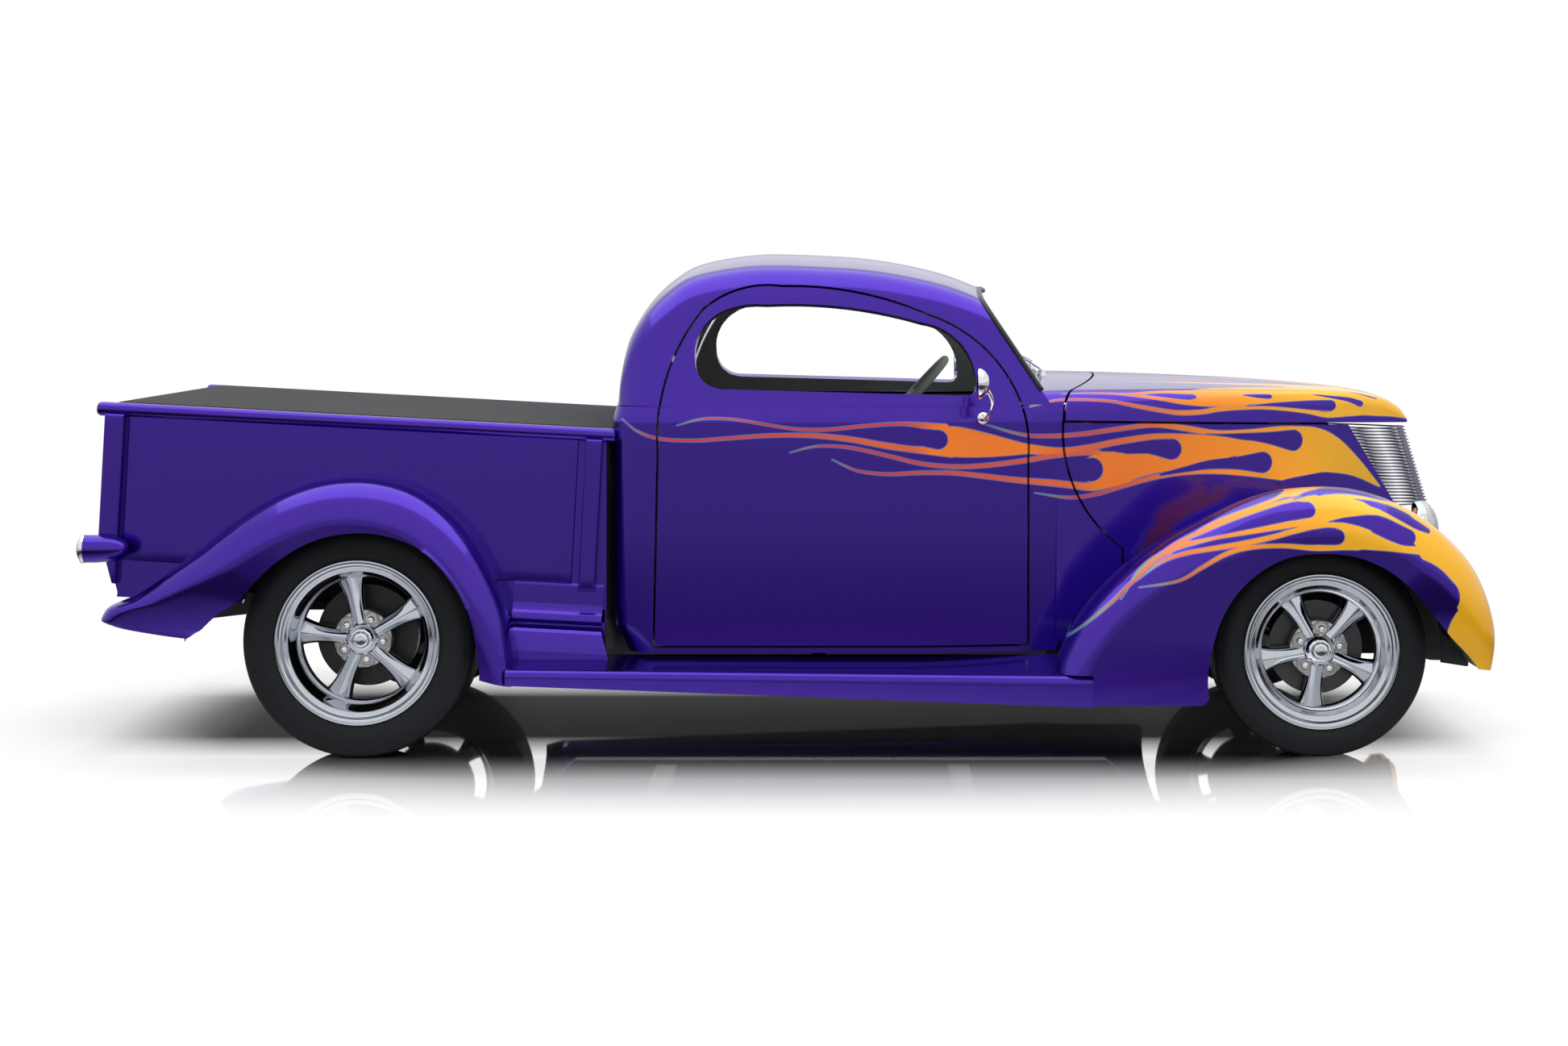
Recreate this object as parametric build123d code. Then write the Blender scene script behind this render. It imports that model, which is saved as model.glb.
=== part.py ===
from build123d import *

import os
from math import cos, radians, sin, sqrt, tan

# Custom 1930s-style pickup truck: separate-fender body on a ladder frame, lowered at the front.
# Millimetres. X runs forward, Y to the left, Z up. The origin is on the ground under the middle of the truck.
# Right-hand pieces are modelled at negative Y and mirrored for the left.

# Wheels and axles
WHEELBASE = 2845.0
FRONT_AXLE_X = 1586.0
REAR_AXLE_X = FRONT_AXLE_X - WHEELBASE
FRONT_TYRE_RADIUS = 315.0
FRONT_TYRE_WIDTH = 205.0
FRONT_TYRE_FACE_Y = 790.0
FRONT_RIM_RADIUS = 222.0
FRONT_DISH = 46.0
REAR_TYRE_RADIUS = 343.0
REAR_TYRE_WIDTH = 255.0
REAR_TYRE_FACE_Y = 802.0
REAR_RIM_RADIUS = 236.0
REAR_DISH = 88.0
RIM_WALL = 9.0
SPOKES = 5
HUB_RADIUS = 62.0
SPINDLE_RADIUS = 28.0
KINGPIN_Y = 600.0
KINGPIN_RADIUS = 14.0
BRAKE_RADIUS = 140.0
PIN_CLEARANCE = 0.3

# Frame
RAIL_Y = 360.0
RAIL_WIDTH = 50.0
RAIL_HEIGHT = 100.0
RAIL_BOTTOM_Z = 203.0
RAIL_FRONT_RISE = 147.0
RAIL_REAR_RISE = 187.0
RAIL_FRONT_X = 1880.0
RAIL_REAR_X = -1900.0
SPRING_WIDTH = 56.0
SPRING_THICKNESS = 26.0

# Lower cab and cowl
SHEET = 12.0
WALL = 45.0
GAP = 7.0
CAB_BACK_X = -517.0
COWL_X = 828.0
CAB_BOTTOM_Z = 303.0
BELT_Z = 1035.0
CAB_HALF_WIDTH = 735.0
CAB_CORNER_RADIUS = 85.0
CAB_TAPER_X = 300.0
CAB_TAPER_RADIUS = 2080.0
FLOOR_THICKNESS = 30.0

# Roof and windshield
TUMBLEHOME = 0.231
CROWN_ANGLE = 8.0
WINDSHIELD_TOP = (659.0, 1330.0)
WINDSHIELD_FOOT = (785.0, 1144.0)
WINDSHIELD_SWEEP = 54.0 / 600
WIDE = 900.0
GLASS = 6.0
GLASS_INSET = 16.0

# Nose
NOSE_X = 1993.0
NOSE_HALF_WIDTH = 60.0
NOSE_BULGE = 60.0
HOOD_EDGE_BOW = 145.0
HOOD_LINE_REAR_Z = 992.0
HOOD_LINE_FRONT_Z = 955.0

# Fenders and running boards
BOARD_REAR_X = -800.0
BOARD_FRONT_X = 905.0
BOARD_EDGE_Y = 878.0
BOARD_INNER_Y = 690.0
BOARD_CREST_Z = 294.0
BOARD_EDGE_TOP_Z = 262.0
BOARD_REAR_DEPTH = 44.0
BOARD_FRONT_DEPTH = 88.0

# Pickup bed, modelled level and then raked about its lower front edge
BED_RAKE = 3.05
BED_FRONT_X = -562.0
BED_LENGTH = 1488.0
BED_SIDE_FRONT_X = -534.0
BED_BOTTOM_Z = 428.0
BED_TOP_Z = 948.0
BED_HALF_WIDTH = 690.0
BED_WALL = 30.0
BED_FLOOR_Z = 500.0
BED_RAIL_RADIUS = 20.0
POST_WIDTH = 66.0
POST_PROUD = 24.0
TAILGATE_SILL = 170.0
HINGE_PIN_RADIUS = 6.0

# Doors, windows and their hinges
DOOR_FRONT_X = 723.0
DOOR_BOTTOM_Z = CAB_BOTTOM_Z + 22
DOOR_HINGE_LEVELS = (560.0, 880.0)
DOOR_HINGE_HEIGHT = 50.0
DOOR_PIN_RADIUS = 5.0
DOOR_EDGE_RELIEF = 42.0
DOOR_LIP = 14.0
DOOR_ARM = 10.0
REAR_WINDOW_HALF = 330.0
REAR_WINDOW_Z = (1130.0, 1250.0)
ROOF_WALL = 40.0

# Nose sections, hood hinges and grille
NOSE_BASE_Z = 925.0
NOSE_LEAN = 0.10
NOSE_CROWN = 7.0
HOOD_HINGE_X = 812.0
HOOD_HINGE_Z = BELT_Z + 16
HOOD_HINGE_Y = 500.0
HOOD_ARM_WIDTH = 16.0
HOOD_ARM = 9.0
HOOD_ARM_DROP = 66.0
HOOD_ARM_REACH = 103.0
SIDE_FRONT_X = 1940.0
COWL_SIDE_FOOT_Z = 330.0
HOOD_SIDE_FOOT_Z = 520.0
GRILLE_BARS = 25
GRILLE_TOP_Z = 938.0
GRILLE_FOOT_Z = 690.0
GRILLE_BAR = 4.5
GRILLE_DEPTH = 9.0
GRILLE_CENTRE = ((1990.0, 942.0), (2070.0, 678.0))
GRILLE_SIDE = ((1772.0, 942.0), (1938.0, 690.0))
GRILLE_BOW = 14.0
GRILLE_NOSE = 8.0
FENDER_SHEET = 8.0

# Lamps, mirrors and front pan
LAMP_CENTRE = (1905.0, -600.0, 690.0)
LAMP_RADIUS = 88.0
LAMP_TILT = 10.0
LIGHT_Z = 616.0
LIGHT_REAR_X = -2078.0
LIGHT_RADIUS = 41.0
MIRROR_BASE = (590.0, -722.0, 1000.0)
MIRROR_ELBOW = (612.0, -815.0, 1048.0)
MIRROR_HEAD = (578.0, -838.0, 1108.0)
MIRROR_RADIUS = 47.0
FRONT_PAN_Y = 420.0
MIRROR_POST = 7.0
MIRROR_FOOT = 20.0

# Bed details
TAILGATE_BARREL = 13.0
TAILGATE_PIN_REACH = 34.0
WHEEL_TUB_RADIUS = 386.0
WHEEL_TUB_SHEET = 8.0
WHEEL_TUB_Y = 520.0
COVER_THICKNESS = 8.0
COVER_REST = 17.0
BED_PLANK = 22.0

# Axle, wheel and steering details
BEAM_TOP_Z = 276.0
BEAM_HEIGHT = 58.0
EYE_RADIUS = 30.0
REAR_TUBE = 40.0
RIM_EDGE = 12.0
SPOKE_HUB_WIDTH = 34.0
SPOKE_RIM_WIDTH = 66.0
SPOKE_DEPTH = 40.0
STEERING_Y = 330.0
STEERING_CENTRE = (394.0, 1012.0)
STEERING_LEAN = 42.0
STEERING_RADIUS = 180.0
STEERING_RIM = 13.0
SPRING_END = 14.0
SPRING_EYE = 17.0
SEAT_HALF_WIDTH = 560.0
DASH_HALF_WIDTH = 600.0


def line_arc_face(plane, segments):
    """Face on a plane from segments: two points make a line, three points an arc."""
    edges = []
    for points in segments:
        if len(points) == 2:
            edges.append(Line(*points))
        else:
            edges.append(ThreePointArc(*points))
    return plane * make_face(Wire(edges))


def side_plane(y):
    """Plane facing +Y whose local axes are X and Z turned so that sketches read as (x, z)."""
    return Plane(origin=(0, y, 0), x_dir=(1, 0, 0), z_dir=(0, -1, 0))


def side_prism(segments, y_from, y_to):
    """Solid whose (x, z) outline is swept sideways between two Y values."""
    return extrude(line_arc_face(side_plane(max(y_from, y_to)), segments), abs(y_to - y_from))


def plan_prism(segments, z_from, z_to):
    """Solid whose (x, y) outline is swept upwards between two Z values."""
    return extrude(line_arc_face(Plane.XY.offset(z_from), segments), z_to - z_from)


def closed(points):
    """Straight segments round a closed outline."""
    return [(points[i], points[(i + 1) % len(points)]) for i in range(len(points))]


def block(x, y, z):
    """Box from three (low, high) spans."""
    size = [high - low for low, high in (x, y, z)]
    middle = [(low + high) / 2 for low, high in (x, y, z)]
    return Pos(*middle) * Box(*size)


def rod(radius, y_from, y_to, x, z):
    """Round bar along Y."""
    return Pos(x, (y_from + y_to) / 2, z) * Rot(90, 0, 0) * Cylinder(radius, abs(y_to - y_from))


def mirrored(shape):
    """The shape on the other side of the truck."""
    return mirror(shape, Plane.XZ)


def one(shape):
    """The single solid of a shape."""
    solids = shape.solids()
    return max(solids, key=lambda s: s.volume)


def rounded_corner(a, c, b, radius):
    """Tangent points, arc middle and centre of a corner a-c-b rounded to a radius."""
    a, c, b = Vector(*a), Vector(*c), Vector(*b)
    to_a = (a - c).normalized()
    to_b = (b - c).normalized()
    half = radians(to_a.get_angle(to_b)) / 2
    reach = radius / tan(half)
    middle_way = (to_a + to_b).normalized()
    centre = c + middle_way * (radius / sin(half))
    return c + to_a * reach, centre - middle_way * radius, c + to_b * reach, centre


def bent_sheet(plane, a, c, b, radius, thickness):
    """Sheet-metal section: two flats joined by a bend, with its inside offset by the thickness."""
    t1, middle, t2, centre = rounded_corner(a, c, b, radius)
    a, b = Vector(*a), Vector(*b)
    in_1 = (centre - t1) * (thickness / radius)
    in_2 = (centre - t2) * (thickness / radius)
    inner_middle = centre + (middle - centre) * ((radius - thickness) / radius)
    return line_arc_face(plane, [
        (a, t1), (t1, middle, t2), (t2, b), (b, b + in_2), (b + in_2, t2 + in_2),
        (t2 + in_2, inner_middle, t1 + in_1), (t1 + in_1, a + in_1), (a + in_1, a)])


def radial_plane(x, z, angle):
    """Plane through a lateral axis: local x points outwards at the angle, local y is Y."""
    out = (cos(radians(angle)), 0, sin(radians(angle)))
    return Plane(origin=(x, 0, z), x_dir=out, z_dir=(-out[2], 0, out[0]))


# Plan outline of the cab, cowl and nose
def cab_side_y(x, half_width):
    """Half width of the cab side at x: straight to the taper, then drawn in on a large arc."""
    if x <= CAB_TAPER_X:
        return half_width
    run = x - CAB_TAPER_X
    return half_width - CAB_TAPER_RADIUS + sqrt(CAB_TAPER_RADIUS ** 2 - run ** 2)


COWL_HALF_WIDTH = cab_side_y(COWL_X, CAB_HALF_WIDTH)


def nose_half_width(x):
    """Half width of the hood at x: an arc from the cowl to the pointed nose."""
    share = (x - COWL_X) / (NOSE_X - COWL_X)
    chord = COWL_HALF_WIDTH + (NOSE_HALF_WIDTH - COWL_HALF_WIDTH) * share
    return chord + 4 * NOSE_BULGE * share * (1 - share)


def hood_line_z(x):
    """Height of the hood's lower edge at x."""
    share = (x - COWL_X) / (NOSE_X - COWL_X)
    return HOOD_LINE_REAR_Z + (HOOD_LINE_FRONT_Z - HOOD_LINE_REAR_Z) * share


def cab_plan(z, half_width, back_x, inset):
    """Plan section of the lower cab at height z, taken in all round by inset."""
    w = half_width - inset
    back = back_x + inset
    corner = max(CAB_CORNER_RADIUS - inset, 20.0)
    front = COWL_X - inset
    w_front = cab_side_y(front, half_width) - inset
    x_mid = (CAB_TAPER_X + front) / 2
    w_mid = cab_side_y(x_mid, half_width) - inset
    bow = corner * (1 - sqrt(0.5))
    return line_arc_face(Plane.XY.offset(z), [
        ((back, -w + corner), (back, w - corner)),
        ((back, w - corner), (back + bow, w - bow), (back + corner, w)),
        ((back + corner, w), (CAB_TAPER_X, w)),
        ((CAB_TAPER_X, w), (x_mid, w_mid), (front, w_front)),
        ((front, w_front), (front, -w_front)),
        ((front, -w_front), (x_mid, -w_mid), (CAB_TAPER_X, -w)),
        ((CAB_TAPER_X, -w), (back + corner, -w)),
        ((back + corner, -w), (back + bow, -w + bow), (back, -w + corner)),
    ])


# height, taken in from the widest, back edge taken forward
CAB_LEVELS = [
    (CAB_BOTTOM_Z, 12.0, 45.0),
    (CAB_BOTTOM_Z + 80, 9.0, 4.0),
    (700.0, 2.0, 0.0),
    (BELT_Z - 50, 0.0, 0.0),
    (BELT_Z, 14.0, 9.0),
]


def lower_cab(inset):
    """Solid of the cab below the belt, taken in all round by inset."""
    sections = [cab_plan(z, CAB_HALF_WIDTH - taken, CAB_BACK_X + forward, inset)
                for z, taken, forward in CAB_LEVELS]
    return loft(sections)


# station x, half width at the belt, height of the roof corner, corner radius
ROOF_STATIONS = [
    (-509.0, 575.0, 1042.0, 18.0),
    (-500.0, 622.0, 1118.0, 60.0),
    (-478.0, 655.0, 1214.0, 100.0),
    (-436.0, 684.0, 1292.0, 125.0),
    (-366.0, 704.0, 1364.0, 135.0),
    (-274.0, 712.0, 1416.0, 130.0),
    (-52.0, 714.0, 1447.0, 125.0),
    (200.0, 712.0, 1437.0, 120.0),
    (445.0, 702.0, 1397.0, 115.0),
    (615.0, 690.0, 1336.0, 105.0),
    (800.0, 668.0, 1222.0, 90.0),
]
ROOF_BASE_Z = BELT_Z - 20


def roof_section(x, half_width, corner_z, radius, inset, base_z):
    """Arch across the cab at station x, taken in by inset: leaning sides, round corners, crowned top."""
    foot_w = half_width - inset - (base_z - ROOF_BASE_Z) * TUMBLEHOME
    top_z = corner_z - inset
    corner_w = half_width - inset - (top_z - ROOF_BASE_Z) * TUMBLEHOME
    slope = tan(radians(CROWN_ANGLE))
    t1, bend, t2, _ = rounded_corner((foot_w, base_z), (corner_w, top_z),
                                     (corner_w - 100, top_z + 100 * slope), max(radius - inset, 8.0))
    crest = t2.Y + t2.X * tan(radians(CROWN_ANGLE) / 2)
    section_plane = Plane(origin=(x, 0, 0), x_dir=(0, 1, 0), z_dir=(1, 0, 0))
    return line_arc_face(section_plane, [
        ((foot_w, base_z), (t1.X, t1.Y)),
        ((t1.X, t1.Y), (bend.X, bend.Y), (t2.X, t2.Y)),
        ((t2.X, t2.Y), (0, crest), (-t2.X, t2.Y)),
        ((-t2.X, t2.Y), (-bend.X, bend.Y), (-t1.X, t1.Y)),
        ((-t1.X, t1.Y), (-foot_w, base_z)),
        ((-foot_w, base_z), (foot_w, base_z)),
    ])


def roof(inset, base_z, first_station=0):
    """Solid of the cab above the belt, taken in by inset."""
    stations = ROOF_STATIONS[first_station:]
    sections = [roof_section(x + (inset if i == 0 else 0), w, z, r, inset, base_z)
                for i, (x, w, z, r) in enumerate(stations)]
    return loft(sections)


def windshield_cut(setback):
    """Everything ahead of the vee windshield, moved back by a setback."""
    (top_x, top_z), (foot_x, foot_z) = WINDSHIELD_TOP, WINDSHIELD_FOOT
    lean = (foot_x - top_x) / (top_z - foot_z)
    low_z, high_z = foot_z - 60, top_z + 300

    def half(sign):
        wedge = []
        for z in (low_z, high_z):
            x = top_x + (top_z - z) * lean - setback
            wedge.append(Plane.XY.offset(z) * make_face(Polyline(
                (x, 0), (x - WINDSHIELD_SWEEP * WIDE, sign * WIDE), (1400, sign * WIDE), (1400, 0),
                close=True)))
        return loft(wedge)

    return half(-1) + half(1)


# Door and window outlines in side view
DOOR_OUTLINE = [
    ((-387, DOOR_BOTTOM_Z), (-374, 900)),
    ((-374, 900), (-335, 1168), (-245, 1322)),
    ((-245, 1322), (-150, 1377), (-10, 1390)),
    ((-10, 1390), (240, 1366), (430, 1304)),
    ((430, 1304), (606, 1195), (694, 1065)),
    ((694, 1065), (718, 985), (723, 880)),
    ((723, 880), (723, DOOR_BOTTOM_Z)),
    ((723, DOOR_BOTTOM_Z), (-387, DOOR_BOTTOM_Z)),
]
WINDOW = [
    ((-270, 1172), (-252, 1262), (-190, 1318)),
    ((-190, 1318), (-130, 1336), (-60, 1338)),
    ((-60, 1338), (230, 1324), (410, 1284)),
    ((410, 1284), (530, 1218), (572, 1100)),
    ((572, 1100), (566, 1076), (540, 1066)),
    ((540, 1066), (-190, 1086)),
    ((-190, 1086), (-247, 1112), (-270, 1172)),
]
DOOR_HINGE_X = DOOR_FRONT_X + 30
DOOR_HINGE_Y = cab_side_y(DOOR_FRONT_X, CAB_HALF_WIDTH) - 22


def door_prism(grown):
    """Door opening swept through the right side, grown all round."""
    face = line_arc_face(side_plane(-400), DOOR_OUTLINE)
    if grown:
        face = offset(face, grown)
    return extrude(face, 500)


def hinge_pocket(z):
    """Room in the cab side for a gooseneck, open at its lip where the arm swings out."""
    reach = DOOR_HINGE_HEIGHT / 2 + 6
    span = (z - reach, z + reach)
    room = block((DOOR_FRONT_X - 5, DOOR_HINGE_X + 16), (-DOOR_HINGE_Y - 14, -DOOR_HINGE_Y + 60), span)
    return room + block((DOOR_FRONT_X - 5, DOOR_FRONT_X + DOOR_LIP), (-DOOR_HINGE_Y - 40, -DOOR_HINGE_Y), span)


def hinge_pin(z):
    """Upright door pin fixed in the pocket's floor and roof."""
    return Pos(DOOR_HINGE_X, -DOOR_HINGE_Y, z) * Cylinder(DOOR_PIN_RADIUS, DOOR_HINGE_HEIGHT + 24)


def hinge_arm(z):
    """Gooseneck arm from inside the door edge round to the pin."""
    y_pin, y_arm = -DOOR_HINGE_Y, -DOOR_HINGE_Y + 24
    span = (z - DOOR_HINGE_HEIGHT / 2, z + DOOR_HINGE_HEIGHT / 2)
    knuckle = Pos(DOOR_HINGE_X, y_pin, z) * Cylinder(DOOR_PIN_RADIUS + 4, DOOR_HINGE_HEIGHT)
    neck = block((DOOR_HINGE_X - DOOR_ARM / 2, DOOR_HINGE_X + DOOR_ARM / 2), (y_pin, y_arm), span)
    leaf = block((DOOR_FRONT_X - 40, DOOR_HINGE_X + DOOR_ARM / 2), (y_arm - DOOR_ARM, y_arm), span)
    bore = Pos(DOOR_HINGE_X, y_pin, z) * Cylinder(DOOR_PIN_RADIUS + PIN_CLEARANCE, DOOR_HINGE_HEIGHT + 2)
    return knuckle + neck + leaf - bore


def rear_window_prism():
    """Opening of the rear window with round ends."""
    low, high = REAR_WINDOW_Z
    mid, rise = (low + high) / 2, (high - low) / 2
    plane = Plane(origin=(-620, 0, 0), x_dir=(0, 1, 0), z_dir=(1, 0, 0))
    half = REAR_WINDOW_HALF - rise
    return extrude(line_arc_face(plane, [
        ((-half, low), (half, low)), ((half, low), (half + rise, mid), (half, high)),
        ((half, high), (-half, high)), ((-half, high), (-half - rise, mid), (-half, low))]), 400)


# Cab shell, doors, floor and glass
CAVITY_FLOOR_Z = CAB_BOTTOM_Z + FLOOR_THICKNESS
tub = lower_cab(0) - lower_cab(WALL)
above_belt = block((-900, 1400), (-WIDE, WIDE), (BELT_Z, 2000))
roof_shell = (roof(0, ROOF_BASE_Z) & above_belt) - roof(ROOF_WALL, BELT_Z - 10, 1)
ahead_of_glass = windshield_cut(0)
roof_shell = one(roof_shell - ahead_of_glass - rear_window_prism())

door_cut = door_prism(GAP)
door_body = door_prism(0)
window_cut = side_prism(WINDOW, -WIDE, -300)
door_right = (tub & door_body) + (roof_shell & door_body) - window_cut
edge_relief = Pos(DOOR_HINGE_X, -DOOR_HINGE_Y, BELT_Z - 400) * Cylinder(DOOR_EDGE_RELIEF, 900)
door_right = one(door_right - edge_relief)

cab_lower = tub - door_cut - mirrored(door_cut)
cab_roof = roof_shell - door_cut - mirrored(door_cut)
for hinge_z in DOOR_HINGE_LEVELS:
    for side in (0, 1):
        pocket = hinge_pocket(hinge_z)
        pin = hinge_pin(hinge_z)
        cab_lower = cab_lower - (mirrored(pocket) if side else pocket)
        cab_lower = cab_lower + (mirrored(pin) if side else pin)
    door_right = door_right + hinge_arm(hinge_z)
cab_floor = one(lower_cab(WALL) & block((-900, 1200), (-WIDE, WIDE), (CAB_BOTTOM_Z, CAVITY_FLOOR_Z)))
door_left = mirrored(door_right)

glass_slab = windshield_cut(GLASS_INSET + GLASS) - windshield_cut(GLASS_INSET)
windshield = one((roof(ROOF_WALL, BELT_Z - 10, 1) & glass_slab) & above_belt)
glass_back_x = CAB_BACK_X + 34
rear_window = rear_window_prism() & block((glass_back_x, glass_back_x + GLASS), (-400, 400), (1000, 1400))


# Cowl top, hood and hood sides
# station x, height at the centre, corner radius
NOSE_STATIONS = [
    (690.0, 1112.0, 70.0),
    (COWL_X, 1114.0, 70.0),
    (1099.0, 1108.0, 66.0),
    (1360.0, 1098.0, 60.0),
    (1622.0, 1082.0, 54.0),
    (1779.0, 1066.0, 46.0),
    (1883.0, 1045.0, 38.0),
    (1962.0, 1006.0, 28.0),
    (1990.0, 972.0, 14.0),
]
HOOD_ARC_RADIUS = (COWL_HALF_WIDTH ** 2 + HOOD_EDGE_BOW ** 2) / (2 * HOOD_EDGE_BOW)


def nose_section(x, crest, radius, inset):
    """Arch across the hood at station x: near-upright sides, round shoulders, crowned top."""
    wide = cab_side_y(x, CAB_HALF_WIDTH) if x < COWL_X else nose_half_width(x)
    half_crown = tan(radians(NOSE_CROWN) / 2)
    foot_w = wide - inset
    corner_z = crest - inset - (wide - inset) * half_crown
    corner_w = foot_w - (corner_z - NOSE_BASE_Z) * NOSE_LEAN
    slope = tan(radians(NOSE_CROWN))
    t1, bend, t2, _ = rounded_corner((foot_w, NOSE_BASE_Z), (corner_w, corner_z),
                                     (corner_w - 40, corner_z + 40 * slope), max(radius - inset, 4.0))
    top = t2.Y + t2.X * half_crown
    plane = Plane(origin=(x, 0, 0), x_dir=(0, 1, 0), z_dir=(1, 0, 0))
    return line_arc_face(plane, [
        ((foot_w, NOSE_BASE_Z), (t1.X, t1.Y)),
        ((t1.X, t1.Y), (bend.X, bend.Y), (t2.X, t2.Y)),
        ((t2.X, t2.Y), (0, top), (-t2.X, t2.Y)),
        ((-t2.X, t2.Y), (-bend.X, bend.Y), (-t1.X, t1.Y)),
        ((-t1.X, t1.Y), (-foot_w, NOSE_BASE_Z)),
        ((-foot_w, NOSE_BASE_Z), (foot_w, NOSE_BASE_Z)),
    ])


def nose(inset):
    """Solid of hood and cowl, taken in by inset."""
    return loft([nose_section(x, crest, radius, inset) for x, crest, radius in NOSE_STATIONS])


def cowl_cylinder(grown):
    """Upright cylinder whose front is the curved line between cowl and hood."""
    radius = HOOD_ARC_RADIUS + grown
    return Pos(COWL_X + HOOD_EDGE_BOW - HOOD_ARC_RADIUS, 0, 1000) * Cylinder(radius, 600)


nose_outer = nose(0)
nose_shell = nose_outer - nose(SHEET)
above_hood_line = side_prism(closed([
    (COWL_X - 30, hood_line_z(COWL_X - 30)), (NOSE_X + 30, hood_line_z(NOSE_X + 30)),
    (NOSE_X + 30, 1400), (COWL_X - 30, 1400)]), -WIDE, WIDE)
hood = one((nose_shell - cowl_cylinder(GAP)) & above_hood_line)
cabin = (roof(0, ROOF_BASE_Z) & above_belt) - ahead_of_glass
cowl_top = (nose_shell & cowl_cylinder(0)) & above_belt
cowl_top = one(cowl_top - cabin - windshield)

# Hood hinges: gooseneck arms on pins above the firewall
hood_arm_path = [
    (HOOD_HINGE_X, HOOD_HINGE_Z),
    (HOOD_HINGE_X + 18, HOOD_HINGE_Z - HOOD_ARM_DROP),
    (HOOD_HINGE_X + HOOD_ARM_REACH, HOOD_HINGE_Z - HOOD_ARM_DROP),
    (HOOD_HINGE_X + HOOD_ARM_REACH, HOOD_HINGE_Z + 60),
]


def thick_path(points, y_from, y_to, thickness):
    """Flat bar following (x, z) points, rounded at its bends."""
    bar = None
    for (x1, z1), (x2, z2) in zip(points, points[1:]):
        run = sqrt((x2 - x1) ** 2 + (z2 - z1) ** 2)
        nx, nz = -(z2 - z1) / run * thickness / 2, (x2 - x1) / run * thickness / 2
        corners = [(x1 + nx, z1 + nz), (x2 + nx, z2 + nz), (x2 - nx, z2 - nz), (x1 - nx, z1 - nz)]
        piece = side_prism(closed(corners), y_from, y_to)
        piece = piece + rod(thickness / 2, y_from, y_to, x2, z2)
        bar = piece if bar is None else bar + piece
    return bar


for side in (-1, 1):
    y_in, y_out = side * (HOOD_HINGE_Y - HOOD_ARM_WIDTH / 2), side * (HOOD_HINGE_Y + HOOD_ARM_WIDTH / 2)
    arm = thick_path(hood_arm_path, min(y_in, y_out), max(y_in, y_out), HOOD_ARM)
    arm = arm + rod(HINGE_PIN_RADIUS + 4, y_in, y_out, HOOD_HINGE_X, HOOD_HINGE_Z)
    arm = arm & nose_outer
    hood = hood + arm
    hood = hood - rod(HINGE_PIN_RADIUS + PIN_CLEARANCE, y_in - side, y_out + side, HOOD_HINGE_X, HOOD_HINGE_Z)
    pocket = block((HOOD_HINGE_X - 16, COWL_X + 1), sorted((y_in - side * 6, y_out + side * 6)),
                   (BELT_Z - 70, BELT_Z + 1))
    cab_lower = cab_lower - pocket
    y_ear = sorted((y_out + side * 6, y_out + side * 22))
    ear = block((HOOD_HINGE_X - 12, HOOD_HINGE_X + 12), y_ear, (BELT_Z, HOOD_HINGE_Z + 10))
    pin = rod(HINGE_PIN_RADIUS, y_in - side * 4, y_out + side * 10, HOOD_HINGE_X, HOOD_HINGE_Z)
    cab_lower = cab_lower + ear + pin


def nose_arc(x_from, x_to, inset):
    """Three plan points along the right side of the nose."""
    x_mid = (x_from + x_to) / 2
    return [(x, -nose_half_width(x) + inset) for x in (x_from, x_mid, x_to)]


outer_arc = nose_arc(COWL_X, SIDE_FRONT_X, 0)
inner_arc = nose_arc(COWL_X, SIDE_FRONT_X, SHEET)
side_strip = plan_prism([
    tuple(outer_arc), (outer_arc[2], inner_arc[2]), tuple(reversed(inner_arc)), (inner_arc[0], outer_arc[0])],
    COWL_SIDE_FOOT_Z - 5, 990)
hood_side_outline = [
    ((COWL_X + 8, hood_line_z(COWL_X) - GAP), (COWL_X + 38, 800), (1021, 603)),
    ((1021, 603), (1021, HOOD_SIDE_FOOT_Z)),
    ((1021, HOOD_SIDE_FOOT_Z), (SIDE_FRONT_X, HOOD_SIDE_FOOT_Z)),
    ((SIDE_FRONT_X, HOOD_SIDE_FOOT_Z), (SIDE_FRONT_X, 700)),
    ((SIDE_FRONT_X, 700), (1772, hood_line_z(1772) - GAP)),
    ((1772, hood_line_z(1772) - GAP), (COWL_X + 8, hood_line_z(COWL_X) - GAP)),
]
cowl_side_outline = [
    ((COWL_X, hood_line_z(COWL_X) - GAP), (COWL_X + 30, 800), (1013, 603)),
    ((1013, 603), (1013, COWL_SIDE_FOOT_Z)),
    ((1013, COWL_SIDE_FOOT_Z), (COWL_X, COWL_SIDE_FOOT_Z)),
    ((COWL_X, COWL_SIDE_FOOT_Z), (COWL_X, hood_line_z(COWL_X) - GAP)),
]
hood_side_right = one(side_strip & side_prism(hood_side_outline, -WIDE, 0))
cowl_side = one(side_strip & side_prism(cowl_side_outline, -WIDE, 0))
cab_lower = cab_lower + cowl_side + mirrored(cowl_side)

# Grille: horizontal bars round a vee nose


def along(line, z):
    """X of a leaning (x, z) line at height z."""
    (x1, z1), (x2, z2) = line
    return x1 + (x2 - x1) * (z1 - z) / (z1 - z2)


def grille_plan(z, back):
    """Vee outline of the grille at height z, right side to left, moved back."""
    x_side = along(GRILLE_SIDE, z)
    y_side = nose_half_width(x_side) - SHEET - 2 - back
    return x_side, y_side, along(GRILLE_CENTRE, z) - back * 1.4


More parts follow.
